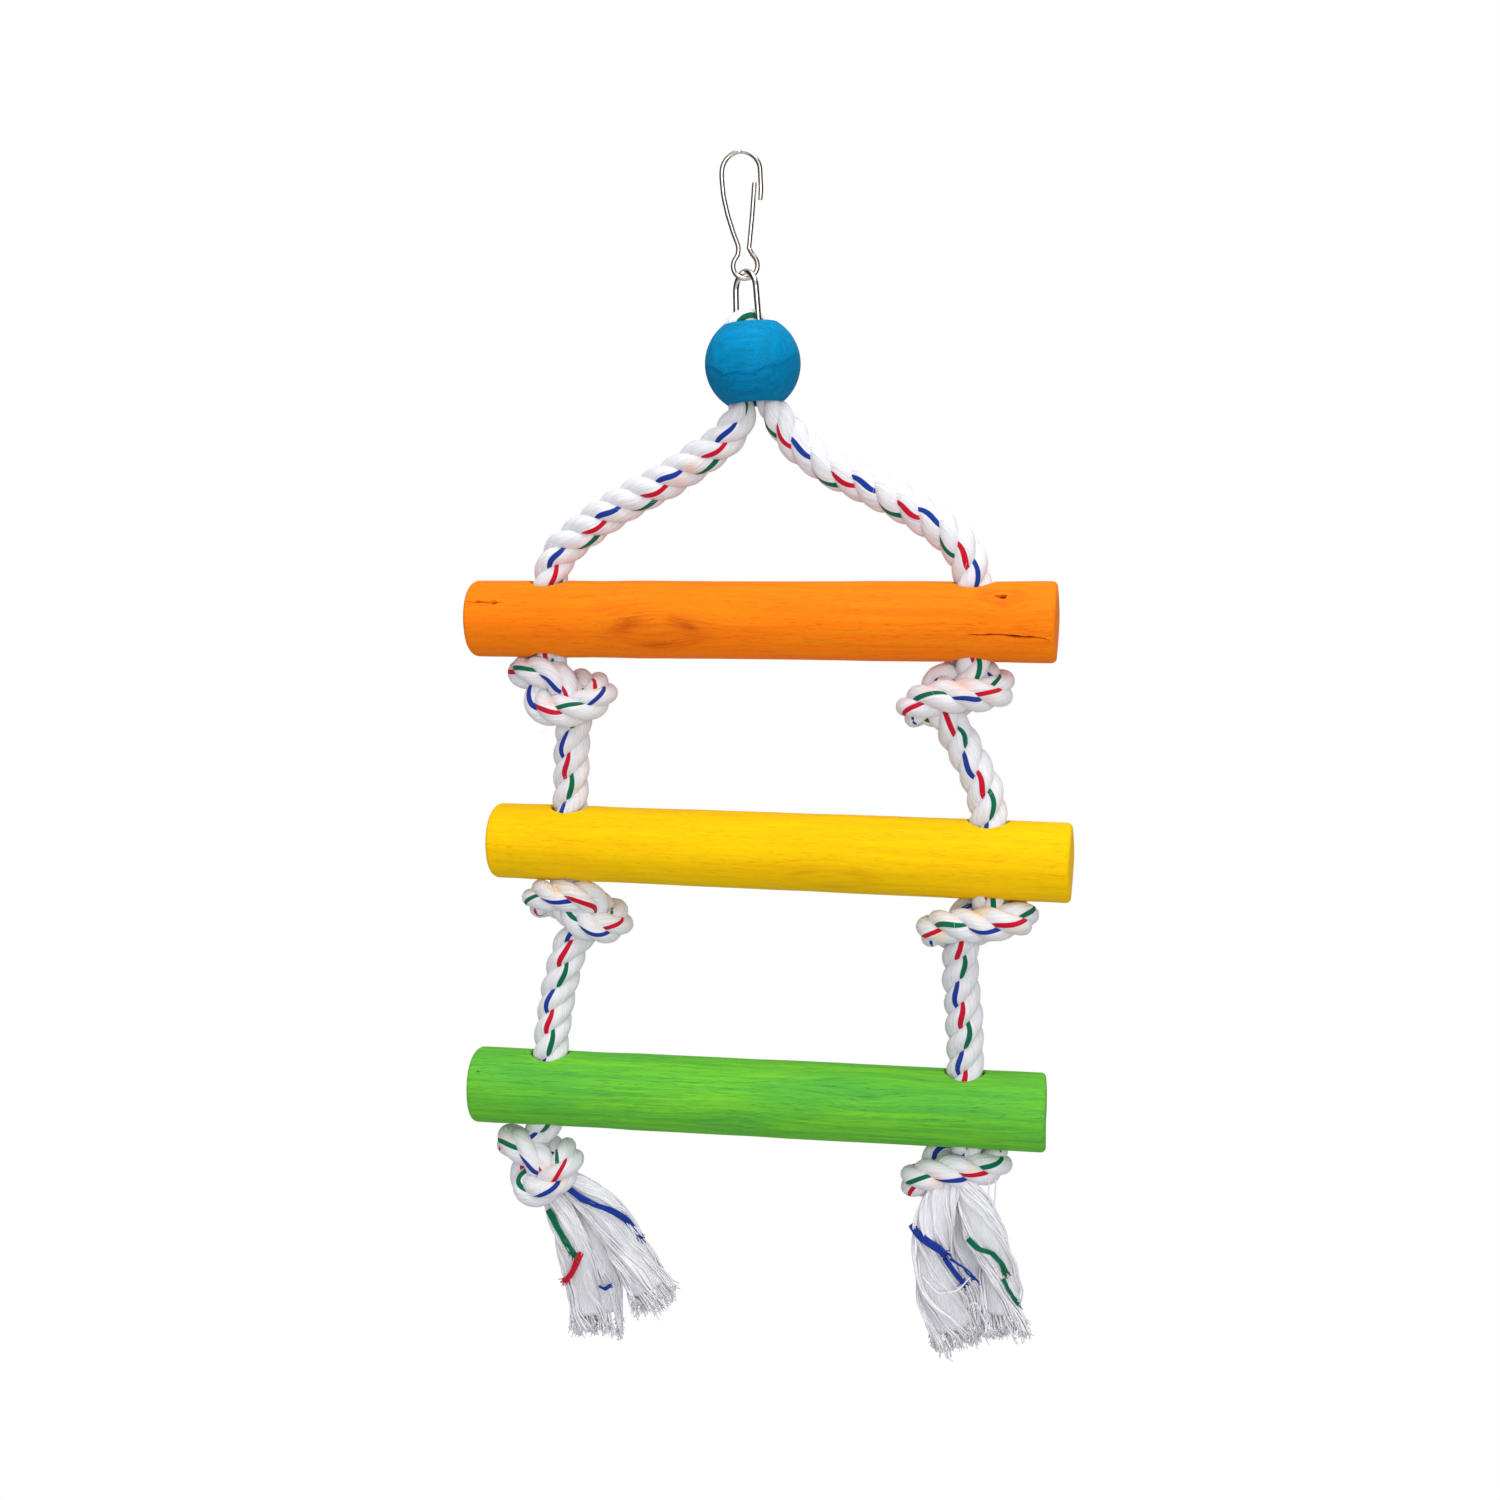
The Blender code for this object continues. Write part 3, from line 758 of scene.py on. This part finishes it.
def rung_rings(length, random, sides=112):
    """A dowel's rings along X, with softened ends and the slight waviness of a sanded stick."""
    half = length / 2
    face = [(half, r) for r in np.linspace(0.4, RUNG_R - RUNG_EDGE, 9)]
    edge = [(half - RUNG_EDGE * (1 - math.cos(a)), RUNG_R - RUNG_EDGE * (1 - math.sin(a)))
            for a in np.linspace(0.25, math.pi / 2, 6)]
    right = np.array(face + edge)
    left = right * [-1, 1]
    body = np.stack([np.linspace(-half + 2, half - 2, 300), np.full(300, RUNG_R)], axis=1)
    profile = np.vstack([left, body, right[::-1]])
    turn = ring_angles(sides)
    x = profile[:, :1] + np.zeros((1, sides))
    worn = 0.05 * wander(random, len(profile), 25)[:, None] + 0.06 * np.cos(2 * turn + 0.7)[None]
    r = profile[:, 1:] * (1 + worn / RUNG_R)
    bow = 0.15 * np.cos(math.pi * profile[:, :1] / length)
    lift = 0.10 * np.sin(3 * turn + 5.0) * profile[:, 1:] / RUNG_R * np.exp(-((half - np.abs(x)) / 1.5) ** 2)
    return np.stack([x + np.sign(x) * lift * (np.abs(x) > half - 2), -r * np.cos(turn) + bow,
                     r * np.sin(turn)], axis=2)


def on_rung(x, angle, r=RUNG_R):
    """A place in a rung's own frame, with its angle in degrees up from the front."""
    a = math.radians(angle)
    return np.array([x, -r * math.cos(a), r * math.sin(a)])


def crack_cutter(skin, path, width, depth, random):
    """A thin wedge along a split, widest in its middle. path is x, angle."""
    line = eased([on_rung(x, a) for x, a in path], 0.7, 2)
    t = np.linspace(0, 1, len(line))
    half = width / 2 * np.sqrt(np.clip(t * (1 - t) * 4, 0.02, 1)) * (1 + 0.25 * wander(random, len(t), 3))
    up = unit(line * [0, 1, 1])
    tangents = unit(np.gradient(line, axis=0))
    side = unit(np.cross(tangents, up))
    jitter = (0.18 * wander(random, len(t), 4))[:, None] * side
    top = line + up * 0.6 + jitter
    rings = np.stack([top + side * half[:, None], top - side * half[:, None],
                      line + jitter - up * depth * (0.3 + 0.7 * (4 * t * (1 - t)))[:, None]], axis=1)
    skin.tube(rings)


def pit_cutter(skin, x, angle, size, random):
    """A lump to scoop a rough pit out of the surface. size is along, across and deep."""
    centre = on_rung(x, angle)
    up = unit(centre * [0, 1, 1])
    side = np.cross([1.0, 0, 0], up)
    rings = []
    for latitude in np.linspace(-1.4, 1.4, 7):
        turn = ring_angles(10)
        rough = 1 + 0.22 * random.normal(size=10)
        along = size[0] * math.cos(latitude) * np.cos(turn) * rough
        across = size[1] * math.cos(latitude) * np.sin(turn) * rough
        deep = size[2] * math.sin(latitude)
        rings.append(centre + along[:, None] * [1.0, 0, 0] + across[:, None] * side + deep * up)
    skin.tube(np.array(rings))


def hole_cutter(skin, x):
    """A drill with slightly flared ends, for the worn rim of a rope hole."""
    levels = [
        (-14, 0.6), (-RUNG_R - 0.1, 0.2), (-RUNG_R + 1.2, 0.0), (RUNG_R - 1.2, 0.0), (RUNG_R + 0.1, 0.5),
        (14, 1.9),
    ]
    turn = ring_angles(56)
    rings = [np.stack([x + (HOLE_R + flare) * np.cos(turn), (HOLE_R + flare) * np.sin(turn),
                       np.full(56, float(z))], axis=1) for z, flare in levels]
    skin.tube(np.array(rings))


def cut(data, cutter_skin, name):
    """The mesh with the cutter taken out of it."""
    cutter_data = cutter_skin.mesh(name + "_cutter")
    shape = bmesh.new()
    shape.from_mesh(cutter_data)
    bmesh.ops.recalc_face_normals(shape, faces=shape.faces)
    shape.to_mesh(cutter_data)
    shape.free()
    whole, cutter = add_object(name, data), add_object(name + "_cutter", cutter_data)
    boolean = whole.modifiers.new("cut", "BOOLEAN")
    boolean.object = cutter
    boolean.operation = "DIFFERENCE"
    boolean.use_self = True
    bpy.context.view_layer.update()
    result = bpy.data.meshes.new_from_object(whole.evaluated_get(bpy.context.evaluated_depsgraph_get()))
    for thing in (whole, cutter):
        bpy.data.objects.remove(thing)
    result.shade_smooth()
    result.set_sharp_from_angle(angle=math.radians(38))
    return result


# Each rung's swirls, as x, angle, half length, half width, darkness, then its splits and its pits.
RUNG_MARKS = {
    1: ([(-23.7, -17, 13.0, 5.0, 0.60), (62.8, 40, 6.0, 3.2, 0.35)],
        [([(-76, 29), (-71, 27.5), (-66, 26.5), (-64.5, 26)], 0.6, 1.2),
         ([(54.5, -15), (60, -16.5), (66, -18.3), (71, -21), (74.7, -23.5)], 0.8, 2.4)],
        [(-71.3, 27.4, (0.9, 0.55, 0.9)), (-67.0, 26.6, (1.2, 0.6, 1.0)), (62.8, 39.8, (1.3, 0.85, 1.4)),
         (61.4, 41.5, (0.9, 0.4, 0.9))]),
    2: ([(17.2, -31, 12.0, 3.6, 0.45)],
        [([(70, -8), (73, -9), (75.7, -9.5)], 0.2, 0.8), ([(71.5, 24), (75.7, 25)], 0.15, 0.7)],
        [(-60.4, 82, (1.0, 0.8, 0.5)), (54.0, -62, (1.6, 1.0, 0.5)), (59.5, -66, (1.2, 0.8, 0.4))]),
    3: ([(-3.0, -30, 9.0, 2.5, 0.25), (30.0, 42, 14.0, 3.0, 0.15)],
        [([(73.0, 8), (75.8, 8.5)], 0.18, 0.8)],
        [(-72.5, 35, (0.5, 0.4, 0.3))]),
}


def grain_of(points, swirls):
    """Coordinates for the grain, which bows round each swirl, and how dark each swirl makes the wood."""
    angle = np.degrees(np.arctan2(points[:, 2], -points[:, 1]))
    radius = np.linalg.norm(points[:, 1:], axis=1)
    shift, dark = np.zeros(len(points)), np.zeros(len(points))
    for x, a, half_length, half_width, darkness in swirls:
        dx = (points[:, 0] - x) / half_length
        dv = np.radians((angle - a + 180) % 360 - 180) * RUNG_R
        near = np.exp(-dx ** 2 - (dv / half_width / 1.6) ** 2)
        shift -= 0.8 * dv * near * radius / RUNG_R
        ring = np.sqrt(dx ** 2 + (dv / half_width) ** 2)
        uneven = 0.6 + 0.4 * np.sin(3 * np.arctan2(dv, dx * 6))
        dark += darkness * np.exp(-((ring - 0.75) / 0.28) ** 2) * uneven
        dark += 0.5 * darkness * np.exp(-(ring / 1.2) ** 2)
    turned = np.arctan2(points[:, 2], -points[:, 1]) + shift / RUNG_R
    grain = np.stack([points[:, 0], -radius * np.cos(turned), radius * np.sin(turned)], axis=1)
    return grain, dark[:, None]


def make_rung(number, slot, body):
    name = f"rung_{number}"
    random = np.random.default_rng(40 + number)
    swirls, cracks, pits = RUNG_MARKS[number]
    middle, along, length = rung_axis(name)
    skin, cutter = Skin(), Skin()
    skin.tube(rung_rings(length, random)[::-1])
    for side in (-1, 1):
        hole_cutter(cutter, side * HOLE_OFFSET)
    for path, width, depth in cracks:
        crack_cutter(cutter, path, width, depth, random)
    for x, angle, size in pits:
        pit_cutter(cutter, x, angle, size, random)
    data = cut(skin.mesh(name + "_dowel"), cutter, name)
    points = mesh_points(data)
    grain, dark = grain_of(points, swirls)
    paint(data, "grain", grain)
    paint(data, "dark", dark)
    on_side = np.abs(points[:, 0]) < length / 2 - 1.5
    # Depth below the round surface, read by the material as painted shade in splits, pits and rope holes.
    # The end faces get none.
    paint(data, "depth", (on_side * (RUNG_R - np.linalg.norm(points[:, 1:], axis=1)))[:, None])
    turn = Matrix.Rotation(math.atan2(along[1], along[0]), 4, "Z")
    turn = turn @ Matrix.Rotation(-math.asin(along[2]), 4, "Y")
    matrix = Matrix.Translation(Vector(middle) * MM) @ turn
    place(data, f"dowel_{number}", wood_material(slot), body, [name], matrix)


def bead_profile():
    """The bored ball's outline as radius and height, up the outside and down the bore."""
    rim = math.asin(BEAD_HALF_HEIGHT / BEAD_R)
    outside = [(BEAD_R * math.cos(a), BEAD_R * math.sin(a)) for a in np.linspace(-rim, rim, 60)]
    lip = (BEAD_R * math.cos(rim) + BEAD_BORE_R) / 2, BEAD_HALF_HEIGHT + 0.05
    shoulder = BEAD_HALF_HEIGHT - 0.35
    inside = [(BEAD_BORE_R - 0.02, z) for z in (5.0, 0.0, -5.0)]
    return outside + [lip, (BEAD_BORE_R, shoulder), *inside, (BEAD_BORE_R, -shoulder), (lip[0], -lip[1])]


def make_bead(slot, sides=128):
    """The bored ball, turned from a profile, with its grain across it."""
    middle = node_middle("bead")
    axis = np.array(joint("bead_slide")["axis"])
    turn = ring_angles(sides)
    random = np.random.default_rng(7)
    worn = 1 + 0.004 * np.cos(2 * turn + 1) + 0.0025 * wander(random, sides + 1, 9)[:-1]
    rings = [np.stack([r * worn * np.cos(turn), r * worn * np.sin(turn), np.full(sides, z)], axis=1)
             for r, z in bead_profile()]
    skin = Skin()
    skin.tube(np.array(rings), closed=True)
    data = skin.mesh("bead_ball")
    points = mesh_points(data)
    paint(data, "grain", points)
    sweep = points[:, 2] + 3.6 - 0.030 * points[:, 0] ** 2 + 0.4 * np.sin(points[:, 0] * 0.9)
    dark = 0.30 / (1 + np.exp(sweep * 1.3)) + 0.5 * np.exp(-(sweep / 0.45) ** 2)
    paint(data, "dark", dark[:, None])
    # Depth inside the ball's surface, read by the material as painted shade in the bore.
    paint(data, "depth", (BEAD_R - np.linalg.norm(points, axis=1))[:, None])
    tilt = Vector((0, 0, 1)).rotation_difference(Vector(axis)).to_matrix().to_4x4()
    matrix = Matrix.Translation(Vector(middle) * MM) @ tilt
    place(data, "turned_bead", wood_material(slot), "bead", ["bead"], matrix)


# ---------------- wire parts

def arc(centre_x, centre_z, radius, start, end, count):
    return [(centre_x + radius * math.cos(a), centre_z + radius * math.sin(a))
            for a in np.radians(np.linspace(start, end, count))]


def in_plane(points):
    return np.array([(x, 0.0, z) for x, z in points])


def place_wire(name, nickel, body, replaced, line, radii, closed=False):
    tangents, across, _ = carried(line, start=(0, -1, 0.01))
    rings = sections(line, tangents, across, radii, WIRE_SIDES)
    skin = Skin()
    skin.tube(rings, closed=closed, wire=surface_places(rings, 1, arc_lengths(line)))
    return place(skin.mesh(name), name, nickel, body, [replaced])


def cut_ends(radii, count, edge=0.88):
    """Softens a wire's cut ends over a few rings."""
    for i in range(count):
        share = edge + (1 - edge) * i / count
        radii[i] *= share
        radii[-1 - i] *= share
    return radii


def make_hook(nickel):
    crown = arc(0, WIRE_R - CROWN_R, CROWN_R, 0, 180, 40)
    eye = arc(EYE_X, EYE_Z, EYE_R, 128, 412, 60)
    line = eased(in_plane(NOSE + crown + SPINE + eye + [NECK]), 0.18, 14)
    along = arc_lengths(line)
    crown_top = along[np.argmax(line[:, 2])]
    radii = WIRE_R * (1 - 0.22 * np.exp(-((along - crown_top) / 0.16) ** 2))
    place_wire("hook_wire", nickel, "hook", "snap_hook", line, cut_ends(radii, 3))
    base, tip = in_plane([NECK, GATE_TIP])
    line = eased([base - unit(tip - base) * 0.4, base, (base + tip) / 2 + [0.1, 0, 0], tip], 0.3, 6)
    radii = cut_ends(np.full(len(line), WIRE_R * 0.985), 2)
    gate = place_wire("gate_wire", nickel, None, "hook_gate", line, radii)
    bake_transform(gate)


def make_link(nickel):
    top, bottom = joint_place("link_swing"), joint_place("ladder_swing")
    down = unit(bottom - top)
    swing = np.array(joint("link_swing")["axis"])
    side = unit(np.cross(swing, down))
    low = -LINK_LENGTH + LINK_TOP_R + LINK_BOTTOM_R
    outline = arc(0, 0, LINK_TOP_R, 0, 180, 40) + arc(0, low, LINK_BOTTOM_R, 180, 360, 40)
    flat = np.array(outline + outline[:1])
    line = resample(top + flat[:, :1] * side - flat[:, 1:] * down, 300)[:-1]
    along = arc_lengths(line)
    seam = 0.62 * along[-1]
    radii = LINK_WIRE_R * (1 - 0.14 * np.exp(-((along - seam) / 0.14) ** 2))
    place_wire("oval_link", nickel, "link", "link", line, radii, closed=True)


# ---------------- materials

class Nodes:
    """A node tree built with short calls, most of which return an output socket."""

    def __init__(self, owner):
        owner.use_nodes = True
        self.tree = owner.node_tree

    def node(self, kind, inputs=None, **settings):
        made = self.tree.nodes.new("ShaderNode" + kind)
        for name, value in settings.items():
            setattr(made, name, value)
        for name, value in (inputs or {}).items():
            self.put(made.inputs[name], value)
        return made

    def put(self, socket, value):
        if isinstance(value, bpy.types.NodeSocket):
            self.tree.links.new(value, socket)
        elif isinstance(value, tuple) and len(value) == 3 and socket.type == "RGBA":
            socket.default_value = (*value, 1.0)
        else:
            socket.default_value = value

    def math(self, operation, a, b=0.0):
        return self.node("Math", {0: a, 1: b}, operation=operation).outputs[0]


class Shader(Nodes):
    """A material's nodes."""

    def __init__(self, name):
        self.material = bpy.data.materials.new(name)
        super().__init__(self.material)
        self.surface = self.tree.nodes["Principled BSDF"]

    def attribute(self, name, output):
        return self.node("Attribute", attribute_name=name).outputs[output]

    def noise(self, vector, scale, detail=2.0, roughness=0.5):
        """Noise with a scale for each axis, in features per millimetre."""
        stretched = self.node("Mapping", {"Vector": vector, "Scale": scale}).outputs["Vector"]
        inputs = {"Vector": stretched, "Scale": 1.0, "Detail": detail, "Roughness": roughness}
        return self.node("TexNoise", inputs).outputs["Fac"]

    def ramp(self, value, low, high, to_low=0.0, to_high=1.0):
        inputs = {"Value": value, "From Min": low, "From Max": high, "To Min": to_low, "To Max": to_high}
        return self.node("MapRange", inputs, interpolation_type="SMOOTHSTEP").outputs[0]

    def mix(self, share, a, b):
        return self.node("Mix", {0: share, 6: a, 7: b}, data_type="RGBA").outputs[2]

    def bump(self, height, distance):
        inputs = {"Height": height, "Distance": distance * MM, "Strength": 1.0}
        return self.node("Bump", inputs).outputs["Normal"]

    def done(self, **inputs):
        for name, value in inputs.items():
            self.put(self.surface.inputs[name.replace("_", " ")], value)
        return self.material


def cotton_material():
    shade = Shader("cotton_rope")
    yarn = shade.attribute("yarn", "Vector")
    tint = shade.node("Attribute", attribute_name="tint")
    stain = shade.node("Attribute", attribute_name="stain")
    fine = shade.noise(yarn, (3.2, 3.2, 0.15), 3.0, 0.65)
    threads = shade.noise(yarn, (1.5, 1.5, 0.05), 1.0)
    # The darker bluish colour falls where fine is low, which is also where the bump is lowest. It is partly
    # uneven yarn tone and partly painted shade in the grooves.
    white = shade.mix(shade.ramp(fine, 0.35, 0.62), (0.76, 0.75, 0.79), (0.89, 0.885, 0.90))
    soiled = shade.mix(shade.math("MULTIPLY", stain.outputs["Alpha"], 0.5), white, stain.outputs["Color"])
    edge = shade.math("ADD", tint.outputs["Alpha"], shade.math("MULTIPLY", fine, 0.012))
    limit = 1 - TRACER_HALF_WIDTH / math.pi
    colour = shade.mix(shade.ramp(edge, limit, limit + 0.014), soiled, tint.outputs["Color"])
    height = shade.math("ADD", fine, shade.math("MULTIPLY", threads, 0.8))
    return shade.done(Base_Color=colour, Roughness=0.95, Normal=shade.bump(height, 0.30), Sheen_Weight=0.10,
                      Sheen_Roughness=0.5, Specular_IOR_Level=0.05)


# Each wood's light, middle and dark colours, how strong its dark lines are, and its blots' colour and share.
WOODS = {
    "blue_wood": ((0.0, 0.27, 0.56), (0.0, 0.21, 0.40), (0.0, 0.045, 0.14), 0.35, None),
    "orange_wood": ((1.0, 0.26, 0.006), (1.0, 0.20, 0.004), (0.45, 0.045, 0.004), 0.22, None),
    "yellow_wood": ((1.0, 0.62, 0.001), (0.95, 0.53, 0.001), (0.60, 0.27, 0.004), 0.22, None),
    "green_wood": (
        (0.19, 0.61, 0.034), (0.10, 0.45, 0.043), (0.02, 0.19, 0.05), 0.6, ((0.08, 0.41, 0.07), 0.3)),
}


def wood_material(name):
    """Dyed wood: streaks and fine lines along the grain, pores, uneven dye, swirls, and painted shade in
    splits and holes.
    """
    light, middle, dark, lines, blots = WOODS[name]
    shade = Shader(name)
    grain = shade.attribute("grain", "Vector")
    swirl = shade.attribute("dark", "Fac")
    depth = shade.attribute("depth", "Fac")
    streaks = shade.noise(grain, (0.025, 0.7, 0.7), 4.0, 0.6)
    fibres = shade.noise(grain, (0.12, 3.8, 3.8), 3.0, 0.6)
    pores = shade.noise(grain, (0.30, 6.0, 6.0), 1.0)
    clouds = shade.noise(grain, (0.025, 0.16, 0.16), 3.0, 0.55)
    colour = shade.mix(shade.ramp(streaks, 0.30, 0.70), middle, light)
    colour = shade.mix(shade.ramp(clouds, 0.42, 0.72, 0.0, 0.35), colour, middle)
    if blots:
        blot, share = blots
        colour = shade.mix(shade.ramp(clouds, 0.46, 0.64, 0.0, share), colour, blot)
    colour = shade.mix(shade.ramp(fibres, 0.50, 0.76, 0.0, lines), colour, dark)
    colour = shade.mix(shade.ramp(pores, 0.64, 0.74, 0.0, 0.35), colour, dark)
    swirl_dark = shade.math("MULTIPLY", swirl, shade.ramp(fibres, 0.3, 0.7, 0.45, 0.9))
    colour = shade.mix(swirl_dark, colour, dark)
    # Painted shade: the colour darkens towards near black the deeper a point lies below the round surface,
    # in splits, pits, rope holes and the bead's bore.
    deep = tuple(0.18 * c for c in dark)
    colour = shade.mix(shade.ramp(depth, 0.35, 1.3, 0.0, 0.9), colour, deep)
    height = shade.math("ADD", fibres, shade.math("MULTIPLY", streaks, 0.7))
    height = shade.math("SUBTRACT", height, shade.ramp(pores, 0.63, 0.72, 0.0, 0.6))
    rough = shade.ramp(streaks, 0.3, 0.7, 0.55, 0.70)
    normal = shade.bump(height, 0.07)
    return shade.done(Base_Color=colour, Roughness=rough, Normal=normal, Specular_IOR_Level=0.06)


def nickel_material():
    shade = Shader("nickel_wire")
    wire = shade.attribute("wire", "Vector")
    drawn = shade.noise(wire, (3.0, 3.0, 0.08), 2.0, 0.5)
    dull = shade.noise(wire, (0.5, 0.5, 0.15), 3.0, 0.6)
    colour = shade.mix(shade.ramp(dull, 0.45, 0.75), (0.74, 0.68, 0.63), (0.50, 0.42, 0.37))
    rough = shade.math("ADD", shade.ramp(dull, 0.4, 0.75, 0.12, 0.22), shade.math("MULTIPLY", drawn, 0.08))
    return shade.done(Base_Color=colour, Roughness=rough, Metallic=1.0)


# ---------------- camera, light and floor

def make_camera():
    data = bpy.data.cameras.new("camera")
    data.sensor_width = 36.0
    data.lens = FOCAL_LENGTH
    data.clip_start = 0.01
    camera = add_object("camera", data)
    a, p = CAMERA_AZIMUTH, CAMERA_PITCH
    look = Vector((-math.sin(a) * math.cos(p), math.cos(a) * math.cos(p), -math.sin(p)))
    camera.location = (Vector(AIM) - look * CAMERA_DISTANCE) * MM
    camera.rotation_euler = look.to_track_quat("-Z", "Y").to_euler()
    bpy.context.scene.camera = camera


def make_light(name, location, size, power):
    data = bpy.data.lights.new(name, "AREA")
    data.shape = "DISK"
    data.size = size
    data.energy = power
    light = add_object(name, data)
    light.location = location
    towards = Vector(LIGHT_AIM) - Vector(location)
    light.rotation_euler = towards.to_track_quat("-Z", "Y").to_euler()


def make_world():
    """A white room that lights the part more softly than it looks, with dark sides for metal to reflect."""
    world = bpy.data.worlds.new("studio")
    room = Nodes(world)
    seen = room.tree.nodes["Background"]
    room.put(seen.inputs["Color"], (1.0, 1.0, 1.0))
    lighting = room.node("Background", {"Color": (0.93, 0.94, 1.0), "Strength": ROOM_STRENGTH})
    direction = room.node("TexCoord").outputs["Generated"]
    sideways = room.math("ABSOLUTE", room.node("SeparateXYZ", {0: direction}).outputs["X"])
    fall = {"Value": sideways, "From Min": 0.35, "From Max": 0.75, "To Min": 0.95, "To Max": 0.03}
    mirrored = room.node("Background", {"Strength": room.node("MapRange", fall).outputs[0]})
    ray = room.node("LightPath").outputs
    surface = lighting
    for kind, background in (("Is Glossy Ray", mirrored), ("Is Camera Ray", seen)):
        surface = room.node("MixShader", {0: ray[kind], 1: surface.outputs[0], 2: background.outputs[0]})
    room.put(room.tree.nodes["World Output"].inputs["Surface"], surface.outputs[0])
    bpy.context.scene.world = world


def make_floor():
    """A floor that looks white and neither lights the part nor shows in its metal."""
    data = bpy.data.meshes.new("floor")
    r, z = FLOOR_HALF, FLOOR_Z
    data.from_pydata([(-r, -r, z), (r, -r, z), (r, r, z), (-r, r, z)], [], [(0, 1, 2, 3)])
    floor = add_object("floor", data)
    shade = Shader("floor")
    data.materials.append(shade.done(
        Base_Color=(0.0, 0.0, 0.0), Emission_Color=(1.0, 1.0, 1.0), Emission_Strength=1.0, Roughness=1.0,
        Specular_IOR_Level=0.0))
    floor.visible_diffuse = False
    floor.visible_glossy = False


def make_stage():
    make_camera()
    make_world()
    make_floor()
    make_light("top_softbox", (0.08, -0.24, 0.62), 0.7, 4.8)
    make_light("front_softbox", (0.35, -0.95, 0.0), 0.8, 4.4)
    bpy.context.scene.view_settings.view_transform = "Standard"


def main():
    make_stage()
    cotton, nickel = cotton_material(), nickel_material()
    tied = tied_knot()
    make_hook(nickel)
    make_link(nickel)
    make_bead("blue_wood")
    make_rope_over_link(cotton)
    for seed, label in enumerate(KNOTS, 2):
        make_leg(tied, label, cotton, seed)
    make_tassel("left", cotton, 21)
    make_tassel("right", cotton, 22)
    make_rung(1, "orange_wood", "ladder_top")
    make_rung(2, "yellow_wood", "ladder_middle")
    make_rung(3, "green_wood", "ladder_bottom")


main()
